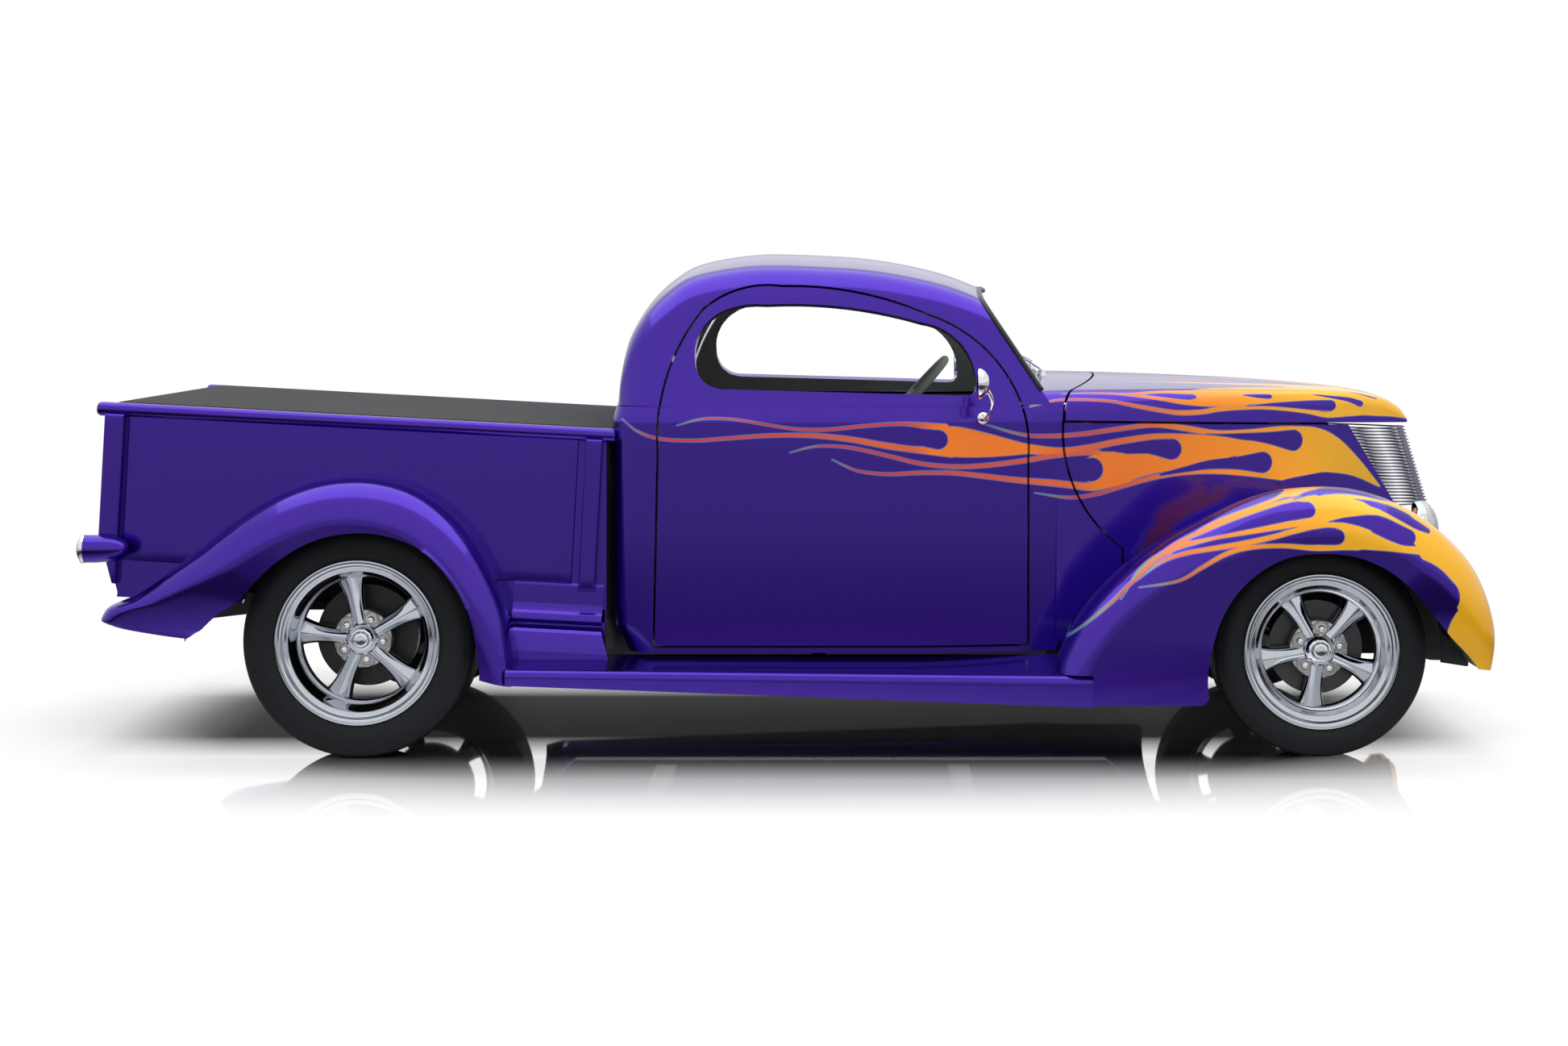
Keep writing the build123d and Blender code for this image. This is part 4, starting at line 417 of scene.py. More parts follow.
def detailed_skin(surface, u, v, field, band=10.0, split=3):
    """Skin with finer cells where the field is near zero; cells beside them take in the new points."""
    coarse, _ = grid_skin(surface, u, v)
    near = (np.abs(field(coarse)) < band).reshape(len(u), len(v))
    fine_cell = near[:-1, :-1] | near[1:, :-1] | near[1:, 1:] | near[:-1, 1:]
    columns, rows = (len(u) - 1) * split + 1, (len(v) - 1) * split + 1
    needed = np.zeros((columns, rows), bool)
    needed[::split, ::split] = True
    for i, j in np.argwhere(fine_cell):
        needed[i * split:(i + 1) * split + 1, j * split:(j + 1) * split + 1] = True
    number = np.full((columns, rows), -1)
    number[needed] = np.arange(needed.sum())
    fine_u = np.interp(np.arange(columns) / split, np.arange(len(u)), u)
    fine_v = np.interp(np.arange(rows) / split, np.arange(len(v)), v)
    i_all, j_all = np.nonzero(needed)
    points = surface(fine_u[i_all], fine_v[j_all])
    faces = []
    steps = range(split)
    for i, j in np.ndindex(*fine_cell.shape):
        i0, j0 = i * split, j * split
        i1, j1 = i0 + split, j0 + split
        if fine_cell[i, j]:
            faces += quads(number[i0:i1 + 1, j0:j1 + 1])
            continue
        ring = [number[i0 + k, j0] for k in steps] + [number[i1, j0 + k] for k in steps]
        ring += [number[i1 - k, j1] for k in steps] + [number[i0, j1 - k] for k in steps]
        faces.append([int(n) for n in ring if n >= 0])
    return points, faces


def used_only(points, faces):
    used = np.unique(np.fromiter((i for face in faces for i in face), int))
    number = np.full(len(points), -1)
    number[used] = np.arange(len(used))
    return points[used], [[int(number[i]) for i in face] for face in faces]


def clip(skin, field):
    """Part of a skin where the field of its points is positive, cut along the zero line."""
    points, faces = skin
    value = field(points)
    value = np.where(np.abs(value) < 1e-4, 1e-4, value)
    inside = (value > 0).tolist()
    kept, added, cuts = [], [], {}
    for face in faces:
        count = sum(inside[i] for i in face)
        if count == len(face):
            kept.append(face)
        elif count:
            ring = []
            for a, b in zip(face, face[1:] + face[:1]):
                if inside[a]:
                    ring.append(a)
                if inside[a] != inside[b]:
                    key = (min(a, b), max(a, b))
                    if key not in cuts:
                        share = value[key[0]] / (value[key[0]] - value[key[1]])
                        added.append(points[key[0]] + (points[key[1]] - points[key[0]]) * share)
                        cuts[key] = len(points) + len(added) - 1
                    ring.append(cuts[key])
            kept.append(ring)
    if added:
        points = np.vstack([points, added])
    return used_only(points, kept)


def face_normals(points, faces):
    """Area-weighted normal of each polygon, by Newell's sum over its first four corners."""
    quad = np.array([(f[0], f[1], f[2], f[3] if len(f) > 3 else f[2]) for f in faces])
    return np.cross(points[quad[:, 2]] - points[quad[:, 0]], points[quad[:, 3]] - points[quad[:, 1]])


def point_normals(points, faces):
    normals = np.zeros_like(points)
    weights = face_normals(points, faces)
    for k in range(max(len(f) for f in faces)):
        rows = [n for n, f in enumerate(faces) if len(f) > k]
        np.add.at(normals, [faces[n][k] for n in rows], weights[rows])
    return normals / np.maximum(np.linalg.norm(normals, axis=1, keepdims=True), 1e-9)


def facing_out(skin, centre):
    """The skin with its polygons turned to face away from a centre."""
    points, faces = skin
    normals = face_normals(points, faces)
    middles = np.array([points[f[0]] for f in faces])
    if np.sum(normals * (middles - np.array(centre, float))) < 0:
        faces = [face[::-1] for face in faces]
    return points, faces


def rim_of(skin, depth):
    """Strip turned inwards all along the open edges of a skin."""
    points, faces = skin
    seen = {}
    for face in faces:
        for a, b in zip(face, face[1:] + face[:1]):
            if (b, a) in seen:
                del seen[(b, a)]
            else:
                seen[(a, b)] = True
    inward = -point_normals(points, faces) * depth
    ends = sorted({i for edge in seen for i in edge})
    number = {i: n for n, i in enumerate(ends)}
    count = len(ends)
    rim_points = np.vstack([points[ends], points[ends] + inward[ends]])
    rim_faces = [[number[b], number[a], number[a] + count, number[b] + count] for a, b in seen]
    return rim_points, rim_faces


def joined(*skins):
    points, faces, start = [], [], 0
    for skin_points, skin_faces in skins:
        points.append(skin_points)
        faces += [[i + start for i in face] for face in skin_faces]
        start += len(skin_points)
    return np.vstack(points), faces


def mirrored(skin):
    points, faces = skin
    return points * np.array((1.0, -1.0, 1.0)), [face[::-1] for face in faces]


def as_it_is(skin):
    return skin


# How a right-hand skin is turned for each side
SIDES = {"right": as_it_is, "left": mirrored}


def both(skin):
    return joined(skin, mirrored(skin))


def lathe(profile, centre, segments=96, axis="y", outward=-1):
    """Skin turned about an axis through a centre from (radius, place along the axis) points."""
    profile = np.array(profile, float)
    angle = np.linspace(0, 2 * math.pi, segments, endpoint=False)
    radius, along = profile[:, 0], profile[:, 1] * outward
    ring = np.cos(angle)[:, None] * radius, np.sin(angle)[:, None] * radius
    along = np.broadcast_to(along, ring[0].shape)
    order = {"x": (along, *ring), "y": (ring[0], along, ring[1]), "z": (*ring, along)}[axis]
    points = np.stack(order, -1).reshape(-1, 3) + np.array(centre, float)
    index = np.arange(segments * len(profile)).reshape(segments, len(profile))
    return points, quads(np.vstack([index, index[:1]]))


def tube(path, radius, sides=14):
    """Round bar along a smooth line of points, closed at its ends."""
    path = np.array(path, float)
    radius = np.broadcast_to(np.asarray(radius, float), (len(path),))
    tangent = np.gradient(path, axis=0)
    tangent /= np.linalg.norm(tangent, axis=1, keepdims=True)
    side = np.cross(tangent, (0.13, 0.31, 0.94))
    side /= np.linalg.norm(side, axis=1, keepdims=True)
    other = np.cross(tangent, side)
    angle = np.linspace(0, 2 * math.pi, sides, endpoint=False)
    ring = np.cos(angle)[None, :, None] * side[:, None] + np.sin(angle)[None, :, None] * other[:, None]
    points = (path[:, None] + ring * radius[:, None, None]).reshape(-1, 3)
    index = np.arange(len(path) * sides).reshape(len(path), sides)
    faces = quads(np.hstack([index, index[:, :1]]))
    return points, faces + [index[0].tolist(), index[-1][::-1].tolist()]


def curve_through(points, count):
    """Smooth line through a few points."""
    points = np.array(points, float)
    knots = np.arange(len(points), dtype=float)
    at = np.linspace(0, len(points) - 1, count)
    padded = np.vstack([2 * points[0] - points[1], points, 2 * points[-1] - points[-2]])
    i = np.clip(at.astype(int), 0, len(points) - 2)
    t = (at - knots[i])[:, None]
    p0, p1, p2, p3 = padded[i], padded[i + 1], padded[i + 2], padded[i + 3]
    bend = 2 * p0 - 5 * p1 + 4 * p2 - p3
    twist = 3 * p1 - p0 - 3 * p2 + p3
    return 0.5 * (2 * p1 + (p2 - p0) * t + bend * t ** 2 + twist * t ** 3)


# Flames
YELLOW = np.array((0.93, 0.47, 0.012))
AMBER = np.array((0.93, 0.30, 0.010))
ORANGE = np.array((0.90, 0.20, 0.012))
ROSE = np.array((0.50, 0.045, 0.075))
LEAF = np.array((0.07, 0.34, 0.16))


class Flames:
    """Flame paint in one flat map: its edge distance in millimetres and its colour."""

    def __init__(self, licks, islands):
        self.licks = [curve_through(stroke, 9 * len(stroke)) for stroke in licks]
        self.islands = [curve_through(stroke, 9 * len(stroke)) for stroke in islands]

    @staticmethod
    def reach(at, stroke):
        """How far inside a stroke each place lies, and how far along the stroke that is, from 0 to 1."""
        best = np.full(len(at), -999.0)
        share = np.zeros(len(at))
        wide = np.zeros(len(at))
        low = stroke[:, :2].min(axis=0) - 110
        high = stroke[:, :2].max(axis=0) + 110
        rows = np.nonzero(np.all((at > low) & (at < high), axis=1))[0]
        if not len(rows):
            return best, share, wide
        x, y = at[rows, 0], at[rows, 1]
        top, where, width = best[rows], share[rows], wide[rows]
        for k in range(len(stroke) - 1):
            (ax, ay, aw), (bx, by, bw) = stroke[k], stroke[k + 1]
            ex, ey = bx - ax, by - ay
            t = np.clip(((x - ax) * ex + (y - ay) * ey) / (ex * ex + ey * ey + 1e-9), 0, 1)
            half = aw + (bw - aw) * t
            value = half - np.hypot(x - ax - t * ex, y - ay - t * ey)
            better = value > top
            top = np.where(better, value, top)
            where = np.where(better, (k + t) / (len(stroke) - 1), where)
            width = np.where(better, half, width)
        best[rows], share[rows], wide[rows] = top, where, width
        return best, share, wide

    def edge(self, at):
        return self.paint(at)[0]

    def paint(self, at):
        best = np.full(len(at), -999.0)
        share = np.zeros(len(at))
        wide = np.full(len(at), 50.0)
        for stroke in self.licks:
            value, where, width = self.reach(at, stroke)
            better = value > best
            best = np.where(better, value, best)
            share = np.where(better, where, share)
            wide = np.where(better, width, wide)
        for stroke in self.islands:
            best = np.minimum(best, -self.reach(at, stroke)[0])
        x = at[:, 0]
        body = blend_along(x, (1700, YELLOW), (1380, AMBER), (1000, ORANGE), (400, ORANGE))
        thin = np.clip((13 - wide) / 9, 0, 1)[:, None] * np.clip((1350 - x) / 400, 0, 1)[:, None]
        body = body * (1 - thin) + ROSE * thin
        tip = np.clip((share - 0.86) / 0.12, 0, 1)[:, None] * (wide < 6)[:, None]
        return best, body * (1 - tip) + LEAF * tip


def blend_along(x, *stops):
    """Colour for each x from (x, colour) stops in falling order."""
    places = np.array([place for place, _ in stops][::-1], float)
    colours = np.array([colour for _, colour in stops][::-1])
    return np.column_stack([np.interp(x, places, colours[:, k]) for k in range(3)])


SIDE_FLAMES = Flames(SIDE_LICKS, SIDE_ISLANDS)
FENDER_FLAMES = Flames(FENDER_LICKS, FENDER_ISLANDS)
HOOD_FLAMES = Flames(HOOD_LICKS, HOOD_ISLANDS)


def side_map(points):
    return points[:, [0, 2]]


def hood_map(points):
    """Place on the hood as x and the way up from the hood line and over the shoulder."""
    x = points[:, 0]
    up = points[:, 2] - hood_line_z(x) + nose_half_width(x) - np.abs(points[:, 1])
    return np.column_stack([x, up])


# Materials
class Tree:
    """Node tree of a finish, with short ways to add the nodes that finishes share."""

    INPUTS = {
        "metallic": "Metallic", "roughness": "Roughness", "specular": "Specular IOR Level", "ior": "IOR",
        "coat": "Coat Weight", "coat_roughness": "Coat Roughness", "sheen": "Sheen Weight",
        "sheen_roughness": "Sheen Roughness", "transmission": "Transmission Weight"}

    def __init__(self, owner):
        owner.use_nodes = True
        self.nodes = owner.node_tree.nodes
        self.links = owner.node_tree.links
        self.shader = self.nodes.get("Principled BSDF")

    def set(self, **values):
        for name, value in values.items():
            self.shader.inputs[self.INPUTS[name]].default_value = value

    def feed(self, name, source):
        self.links.new(source, self.shader.inputs[name])

    def new(self, kind):
        return self.nodes.new("ShaderNode" + kind)

    def take(self, socket, source):
        """Gives an input a socket or a fixed number."""
        if hasattr(source, "is_output"):
            self.links.new(source, socket)
        else:
            socket.default_value = source

    def place(self, name="Object"):
        return self.new("TexCoord").outputs[name]

    def attribute(self, name, output):
        node = self.new("Attribute")
        node.attribute_name = name
        return node.outputs[output]

    def noise(self, scale, detail):
        node = self.new("TexNoise")
        node.inputs["Scale"].default_value = scale
        node.inputs["Detail"].default_value = detail
        self.links.new(self.place(), node.inputs["Vector"])
        return node.outputs["Fac"]

    def wave(self, scale, direction):
        node = self.new("TexWave")
        node.bands_direction = direction
        node.inputs["Scale"].default_value = scale
        self.links.new(self.place(), node.inputs["Vector"])
        return node.outputs["Fac"]

    def ramp(self, source, low, high, to_low, to_high):
        node = self.new("MapRange")
        for name, value in (("From Min", low), ("From Max", high), ("To Min", to_low), ("To Max", to_high)):
            node.inputs[name].default_value = value
        self.links.new(source, node.inputs["Value"])
        return node.outputs["Result"]

    def math(self, operation, *sources):
        node = self.new("Math")
        node.operation = operation
        for socket, source in zip(node.inputs, sources):
            self.take(socket, source)
        return node.outputs[0]

    def mix(self, factor, a, b):
        """Colour mix; a and b are sockets or fixed colours."""
        node = self.new("Mix")
        node.data_type = "RGBA"
        self.links.new(factor, node.inputs["Factor"])
        for name, value in (("A", a), ("B", b)):
            socket = [s for s in node.inputs if s.name == name and s.type == "RGBA"][0]
            self.take(socket, value if hasattr(value, "is_output") else (*value, 1.0))
        return [s for s in node.outputs if s.type == "RGBA"][0]

    def blend(self, factor, a, b):
        """Mix of two shaders."""
        node = self.new("MixShader")
        for socket, source in zip(node.inputs, (factor, a, b)):
            self.links.new(source, socket)
        return node.outputs["Shader"]

    def bump(self, height, strength, distance):
        node = self.new("Bump")
        node.inputs["Strength"].default_value = strength
        node.inputs["Distance"].default_value = distance
        self.links.new(height, node.inputs["Height"])
        self.feed("Normal", node.outputs["Normal"])


def new_material(name):
    material = bpy.data.materials.new(name)
    return material, Tree(material)


def darker(colour, share):
    return tuple(share * c for c in colour)


VIOLET = (0.060, 0.015, 0.375)
VIOLET_DEEP = (0.042, 0.010, 0.285)
PINSTRIPE = (0.15, 0.17, 0.42)
RUBBER_DARK = (0.004, 0.005, 0.006)
RUBBER_DUSTY = (0.011, 0.012, 0.015)


def paint_material(name, flames):
    """Deep violet metallic paint under clear coat, with flames where the skin carries their map."""
    material, tree = new_material(name)
    tree.set(metallic=0.95, roughness=0.23, coat=0.45, coat_roughness=0.02, specular=0.3)
    flakes = tree.noise(1400.0, 1.0)
    colour = tree.mix(tree.ramp(flakes, 0.35, 0.65, 0, 1), VIOLET_DEEP, VIOLET)
    if flames:
        edge = tree.attribute("flame_edge", "Fac")
        from_stripe = tree.math("ABSOLUTE", tree.math("ADD", edge, 1.5))
        colour = tree.mix(tree.ramp(edge, -0.6, 0.6, 0, 1), colour, tree.attribute("flame_colour", "Color"))
        colour = tree.mix(tree.ramp(from_stripe, 0.7, 1.5, 1, 0), colour, PINSTRIPE)
        tree.feed("Metallic", tree.ramp(edge, -3.5, 0.0, 0.95, 0.15))
    tree.feed("Base Color", colour)
    tree.bump(tree.noise(55.0, 1.0), 0.015, 0.0006)
    return material


def metal_material(name, colour, roughness, scale, metallic=1.0, grain=0.04):
    """Plated, polished or cast metal with fine uneven gloss."""
    material, tree = new_material(name)
    tree.set(metallic=metallic)
    grey = tree.noise(scale, 3.0)
    tree.feed("Base Color", tree.mix(grey, darker(colour, 0.86), colour))
    tree.feed("Roughness", tree.ramp(grey, 0.3, 0.7, roughness * 0.8, roughness * 1.25))
    tree.bump(grey, grain, 0.0004)
    return material


def rubber_material():
    """Dusty tyre rubber."""
    material, tree = new_material("tyre_rubber")
    tree.set(specular=0.22)
    dust = tree.noise(26.0, 4.0)
    tree.feed("Base Color", tree.mix(dust, RUBBER_DARK, RUBBER_DUSTY))
    tree.feed("Roughness", tree.ramp(dust, 0.3, 0.7, 0.48, 0.66))
    tree.bump(tree.noise(700.0, 2.0), 0.12, 0.0005)
    return material


def glass_material(name, colour, roughness=0.0, transmission=1.0):
    """Glass with a faint smear."""
    material, tree = new_material(name)
    tree.set(transmission=transmission, ior=1.45, specular=0.5)
    smear = tree.noise(9.0, 2.0)
    tree.feed("Base Color", tree.mix(smear, darker(colour, 0.96), colour))
    tree.feed("Roughness", tree.ramp(smear, 0.2, 0.8, roughness, roughness + 0.02))
    return material


def ribbed_lens(name, colour, transmission):
    """Moulded lens with fine upright ribs."""
    material, tree = new_material(name)
    tree.set(transmission=transmission, ior=1.5, roughness=0.04)
    ribs = tree.wave(60.0, "Y")
    tree.feed("Base Color", tree.mix(ribs, darker(colour, 0.85), colour))
    tree.bump(ribs, 0.25, 0.001)
    return material


def cloth_material(name, dark, light, threads):
    """Plain weave: two sets of threads over and under."""
    material, tree = new_material(name)
    tree.set(roughness=0.92, sheen=0.15, sheen_roughness=0.4, specular=0.15)
    weave = tree.math("MULTIPLY", tree.wave(threads, "X"), tree.wave(threads, "Y"))
    worn = tree.math("MULTIPLY", weave, tree.ramp(tree.noise(7.0, 4.0), 0.3, 0.7, 0.6, 1.3))
    tree.feed("Base Color", tree.mix(worn, dark, light))
    tree.bump(weave, 0.35, 0.0006)
    return material


def vinyl_material(name, colour):
    """Grained vinyl with slow changes of shade."""
    material, tree = new_material(name)
    tree.set(specular=0.4)
    grain = tree.noise(420.0, 4.0)
    tree.feed("Base Color", tree.mix(tree.noise(5.0, 3.0), darker(colour, 0.82), colour))
    tree.feed("Roughness", tree.ramp(grain, 0.3, 0.7, 0.42, 0.6))
    tree.bump(grain, 0.25, 0.0004)
    return material


PAINT = paint_material("violet_paint", False)
FLAME_PAINT = paint_material("violet_paint_flames", True)
CHROME = metal_material("chrome_plate", (0.80, 0.82, 0.85), 0.045, 14.0, grain=0.02)
ALLOY = metal_material("polished_alloy", (0.56, 0.59, 0.64), 0.06, 40.0)
CAST_ALLOY = metal_material("cast_alloy", (0.50, 0.48, 0.46), 0.34, 160.0, grain=0.12)
IRON = metal_material("cast_iron", (0.085, 0.085, 0.09), 0.42, 120.0)
CHASSIS = metal_material("chassis_black", (0.016, 0.016, 0.018), 0.42, 60.0, metallic=0.0)
BLACK_TRIM = metal_material("black_trim", (0.010, 0.010, 0.012), 0.35, 90.0, metallic=0.0)
BARS = metal_material("grille_bars", (0.30, 0.30, 0.40), 0.18, 60.0)
RUBBER = rubber_material()
GLASS = glass_material("window_glass", (0.86, 0.93, 0.90))
TINTED = glass_material("windshield_glass", (0.42, 0.55, 0.48))
CLEAR = glass_material("lamp_glass", (0.80, 0.88, 0.92), 0.12, 0.55)
RED_LENS = ribbed_lens("red_lens", (0.55, 0.012, 0.012), 0.55)
COVER_CLOTH = cloth_material("cover_cloth", (0.006, 0.006, 0.007), (0.030, 0.030, 0.033), 180.0)
GREY_VINYL = vinyl_material("grey_vinyl", (0.34, 0.33, 0.32))
SEAT_VINYL = vinyl_material("seat_vinyl", (0.36, 0.35, 0.34))
WHEEL_GREY = vinyl_material("steering_wheel_grey", (0.42, 0.44, 0.42))


# Making pieces
def piece(name, skin, materials, body, nodes=(), parts=None, flames=None):
    """Mesh object on a body; parts gives each polygon's material number, flames their map and paint."""
    points, faces = skin
    mesh = bpy.data.meshes.new(name)
    mesh.from_pydata((points * MM).tolist(), [], faces)
    mesh.polygons.foreach_set("use_smooth", [True] * len(mesh.polygons))
    for material in materials:
        mesh.materials.append(material)
    if parts is not None:
        mesh.polygons.foreach_set("material_index", parts)
    if flames is not None:
        place, paint = flames
        edge, colour = paint.paint(place(points))
        edges = mesh.attributes.new("flame_edge", "FLOAT", "POINT")
        edges.data.foreach_set("value", edge.astype(np.float32))
        rgba = np.column_stack([colour, np.ones(len(points))]).astype(np.float32)
        colours = mesh.attributes.new("flame_colour", "FLOAT_COLOR", "POINT")
        colours.data.foreach_set("color", rgba.ravel())
    mesh.update()
    result = bpy.data.objects.new(name, mesh)
    bpy.context.scene.collection.objects.link(result)
    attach(result, body)
    if nodes:
        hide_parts(*nodes)
    return result


def panel(name, skins, body, rim, nodes=(), flames=None, lining=()):
    """Painted sheet-metal piece: its outer skins with turned-in edges, and grey lining skins behind them."""
    outer = joined(*skins)
    edge = joined(*[rim_of(skin, rim) for skin in skins])
    whole = joined(outer, edge, *lining)
    parts = [0] * (len(outer[1]) + len(edge[1])) + [1] * sum(len(faces) for _, faces in lining)
    paint = FLAME_PAINT if flames else PAINT
    return piece(name, whole, [paint, GREY_VINYL], body, nodes, parts, flames)


def dress(name, material, bevel=0.0):
    """Finish of a CAD node that stays as it is, with its sharp edges eased."""
    node = NODES[name]
    node.data.materials.clear()
    node.data.materials.append(material)
    if bevel:
        ease = node.modifiers.new("eased_edges", "BEVEL")
        ease.width = bevel * MM
        ease.segments = 2
        ease.limit_method = "ANGLE"
        ease.angle_limit = math.radians(40)
        ease.harden_normals = True


# Surfaces of the body
def cab_side_y(x, half_width):
    run = np.maximum(x - CAB_TAPER_X, 0.0)
    return half_width - CAB_TAPER_RADIUS + np.sqrt(CAB_TAPER_RADIUS ** 2 - run ** 2)


COWL_HALF_WIDTH = float(cab_side_y(np.array(COWL_X), CAB_HALF_WIDTH))


def nose_half_width(x):
    share = (x - COWL_X) / (NOSE_X - COWL_X)
    chord = COWL_HALF_WIDTH + (NOSE_HALF_WIDTH - COWL_HALF_WIDTH) * share
    return np.where(x < COWL_X, cab_side_y(x, CAB_HALF_WIDTH), chord + 4 * NOSE_BULGE * share * (1 - share))


def hood_line_z(x):
    return HOOD_LINE[0] + (HOOD_LINE[1] - HOOD_LINE[0]) * (x - COWL_X) / (NOSE_X - COWL_X)


def arch(foot_w, foot_z, corner_w, corner_z, radius, crown, v):
    """Half of an arch: v to 1 up the side, to 2 round the corner, to 3 along the crown to the middle."""
    side_w, side_z = foot_w - corner_w, foot_z - corner_z
    side = np.hypot(side_w, side_z)
    to_a = np.stack([side_w / side, side_z / side])
    to_b = np.stack([-np.cos(crown), np.sin(crown)])
    half = np.arccos(np.clip(np.sum(to_a * to_b, axis=0), -1, 1)) / 2
    reach = np.minimum(radius / np.tan(half), 0.95 * side)
    radius = reach * np.tan(half)
    corner = np.stack([corner_w, corner_z])
    t1, t2 = corner + to_a * reach, corner + to_b * reach
    way = to_a + to_b
    centre = corner + way / np.linalg.norm(way, axis=0) * (radius / np.sin(half))
    start = np.arctan2(t1[1] - centre[1], t1[0] - centre[0])
    end = np.arctan2(t2[1] - centre[1], t2[0] - centre[0])
    angle = start + (end - start) * np.clip(v - 1, 0, 1)
    rise = np.maximum(t2[0] * np.tan(crown / 2), 1e-6)
    big = (t2[0] ** 2 + rise ** 2) / (2 * rise)
    across = t2[0] * (1 - np.clip(v - 2, 0, 1))
    up = np.clip(v, 0, 1)
    w = np.where(v <= 2, centre[0] + radius * np.cos(angle), across)
    w = np.where(v <= 1, foot_w + (t1[0] - foot_w) * up, w)
    crest = t2[1] + rise - big + np.sqrt(np.maximum(big ** 2 - across ** 2, 0))
    z = np.where(v <= 2, centre[1] + radius * np.sin(angle), crest)
    z = np.where(v <= 1, foot_z + (t1[1] - foot_z) * up, z)
    return w, z


def nose_surface(x, v):
    crest = smooth_through(NOSE_STATIONS[:, 0], NOSE_STATIONS[:, 1], x)
    radius = smooth_through(NOSE_STATIONS[:, 0], NOSE_STATIONS[:, 2], x)
    wide = nose_half_width(x)
    crown = np.full_like(x, math.radians(NOSE_CROWN))
    corner_z = crest - wide * np.tan(crown / 2)
    corner_w = wide - (corner_z - NOSE_BASE_Z) * NOSE_LEAN
    w, z = arch(wide, np.full_like(x, NOSE_BASE_Z), corner_w, corner_z, radius, crown, v)
    return np.column_stack([x, -w, z])


def roof_surface(k, v):
    place = np.arange(len(ROOF_STATIONS), dtype=float)
    x, half, corner_z, radius, crown = (smooth_through(place, ROOF_STATIONS[:, c], k) for c in range(5))
    foot_w = half - (BELT_Z - ROOF_BASE_Z) * TUMBLEHOME
    corner_w = half - (corner_z - ROOF_BASE_Z) * TUMBLEHOME
    w, z = arch(foot_w, np.full_like(x, BELT_Z), corner_w, corner_z, radius, np.radians(crown), v)
    return np.column_stack([x, -w, z])


def tub_surface(s, z):
    """Lower cab: s is 0 at the cowl, 1 at the taper, 2 and 3 at the rear corner, 4 at the back's middle."""
    w = CAB_HALF_WIDTH - smooth_through(CAB_LEVELS[:, 0], CAB_LEVELS[:, 1], z)
    back = CAB_BACK_X + smooth_through(CAB_LEVELS[:, 0], CAB_LEVELS[:, 2], z)
    front_x = COWL_X + (CAB_TAPER_X - COWL_X) * s
    straight_x = CAB_TAPER_X + (back + CAB_CORNER - CAB_TAPER_X) * (s - 1)
    turn = np.radians(90) * np.clip(s - 2, 0, 1)
    corner_x = back + CAB_CORNER * (1 - np.sin(turn))
    corner_y = w - CAB_CORNER * (1 - np.cos(turn))
    x = np.where(s <= 1, front_x, np.where(s <= 2, straight_x, np.where(s <= 3, corner_x, back)))
    y = np.where(s <= 3, corner_y, (w - CAB_CORNER) * (4 - s))
    y = np.where(s <= 1, cab_side_y(front_x, w), np.where(s <= 2, w, y))
    return np.column_stack([x, -y, z])


def fender_surface(axle, table, inner_limit):
    """Surface over the angle about the axle and t: to 1 across the crown, to 2 round the bend, to 3 down."""
    def surface(angle, t):
        columns = [smooth_through(table[:, 0], table[:, c], angle) for c in range(1, 7)]
        crown, lip, y_in, y_out, bend, drop = columns
        out = np.radians(angle)
        if inner_limit:
            x_in = axle[0] + (crown - drop) * np.cos(out)
            y_in = np.maximum(y_in, inner_limit(x_in))
        a, c, b = np.stack([crown - drop, y_in]), np.stack([crown, y_out + 5]), np.stack([lip, y_out])
        to_a = (a - c) / np.linalg.norm(a - c, axis=0)
        to_b = (b - c) / np.linalg.norm(b - c, axis=0)
        half = np.arccos(np.clip(np.sum(to_a * to_b, axis=0), -1, 1)) / 2
        reach = bend / np.tan(half)
        t1, t2 = c + to_a * reach, c + to_b * reach
        way = to_a + to_b
        centre = c + way / np.linalg.norm(way, axis=0) * (bend / np.sin(half))
        start = np.arctan2(t1[1] - centre[1], t1[0] - centre[0])
        end = np.arctan2(t2[1] - centre[1], t2[0] - centre[0])
        turn = start + (end - start) * np.clip(t - 1, 0, 1)
        flat = a + (t1 - a) * np.clip(t, 0, 1)
        round_part = centre + bend * np.stack([np.cos(turn), np.sin(turn)])
        face = t2 + (b - t2) * np.clip(t - 2, 0, 1)
        r, y = np.where(t <= 1, flat, np.where(t <= 2, round_part, face))
        return np.column_stack([axle[0] + r * np.cos(out), -y, axle[1] + r * np.sin(out)])
    return surface


# Cut lines as fields of the points; AWAY is the value where a cut doesn't reach
AWAY = 50.0
DOOR_POLYGON = outline_points(DOOR_OUTLINE)
WINDOW_POLYGON = outline_points(WINDOW_OUTLINE)
HOOD_ARC_RADIUS = (COWL_HALF_WIDTH ** 2 + HOOD_EDGE_BOW ** 2) / (2 * HOOD_EDGE_BOW)
HOOD_ARC_X = COWL_X + HOOD_EDGE_BOW - HOOD_ARC_RADIUS


def door_field(points):
    return inside_by(side_map(points), DOOR_POLYGON)


def window_field(points):
    return inside_by(side_map(points), WINDOW_POLYGON)


def windshield_field(points):
    """Positive behind the vee of the windshield."""
    lean = (WINDSHIELD_FOOT[0] - WINDSHIELD_TOP[0]) / (WINDSHIELD_TOP[1] - WINDSHIELD_FOOT[1])
    plane_x = WINDSHIELD_TOP[0] + (WINDSHIELD_TOP[1] - points[:, 2]) * lean
    return plane_x - WINDSHIELD_SWEEP * np.abs(points[:, 1]) - points[:, 0]


def cowl_field(points):
    """Positive behind the curved line between cowl and hood."""
    return HOOD_ARC_RADIUS - np.hypot(points[:, 0] - HOOD_ARC_X, points[:, 1])


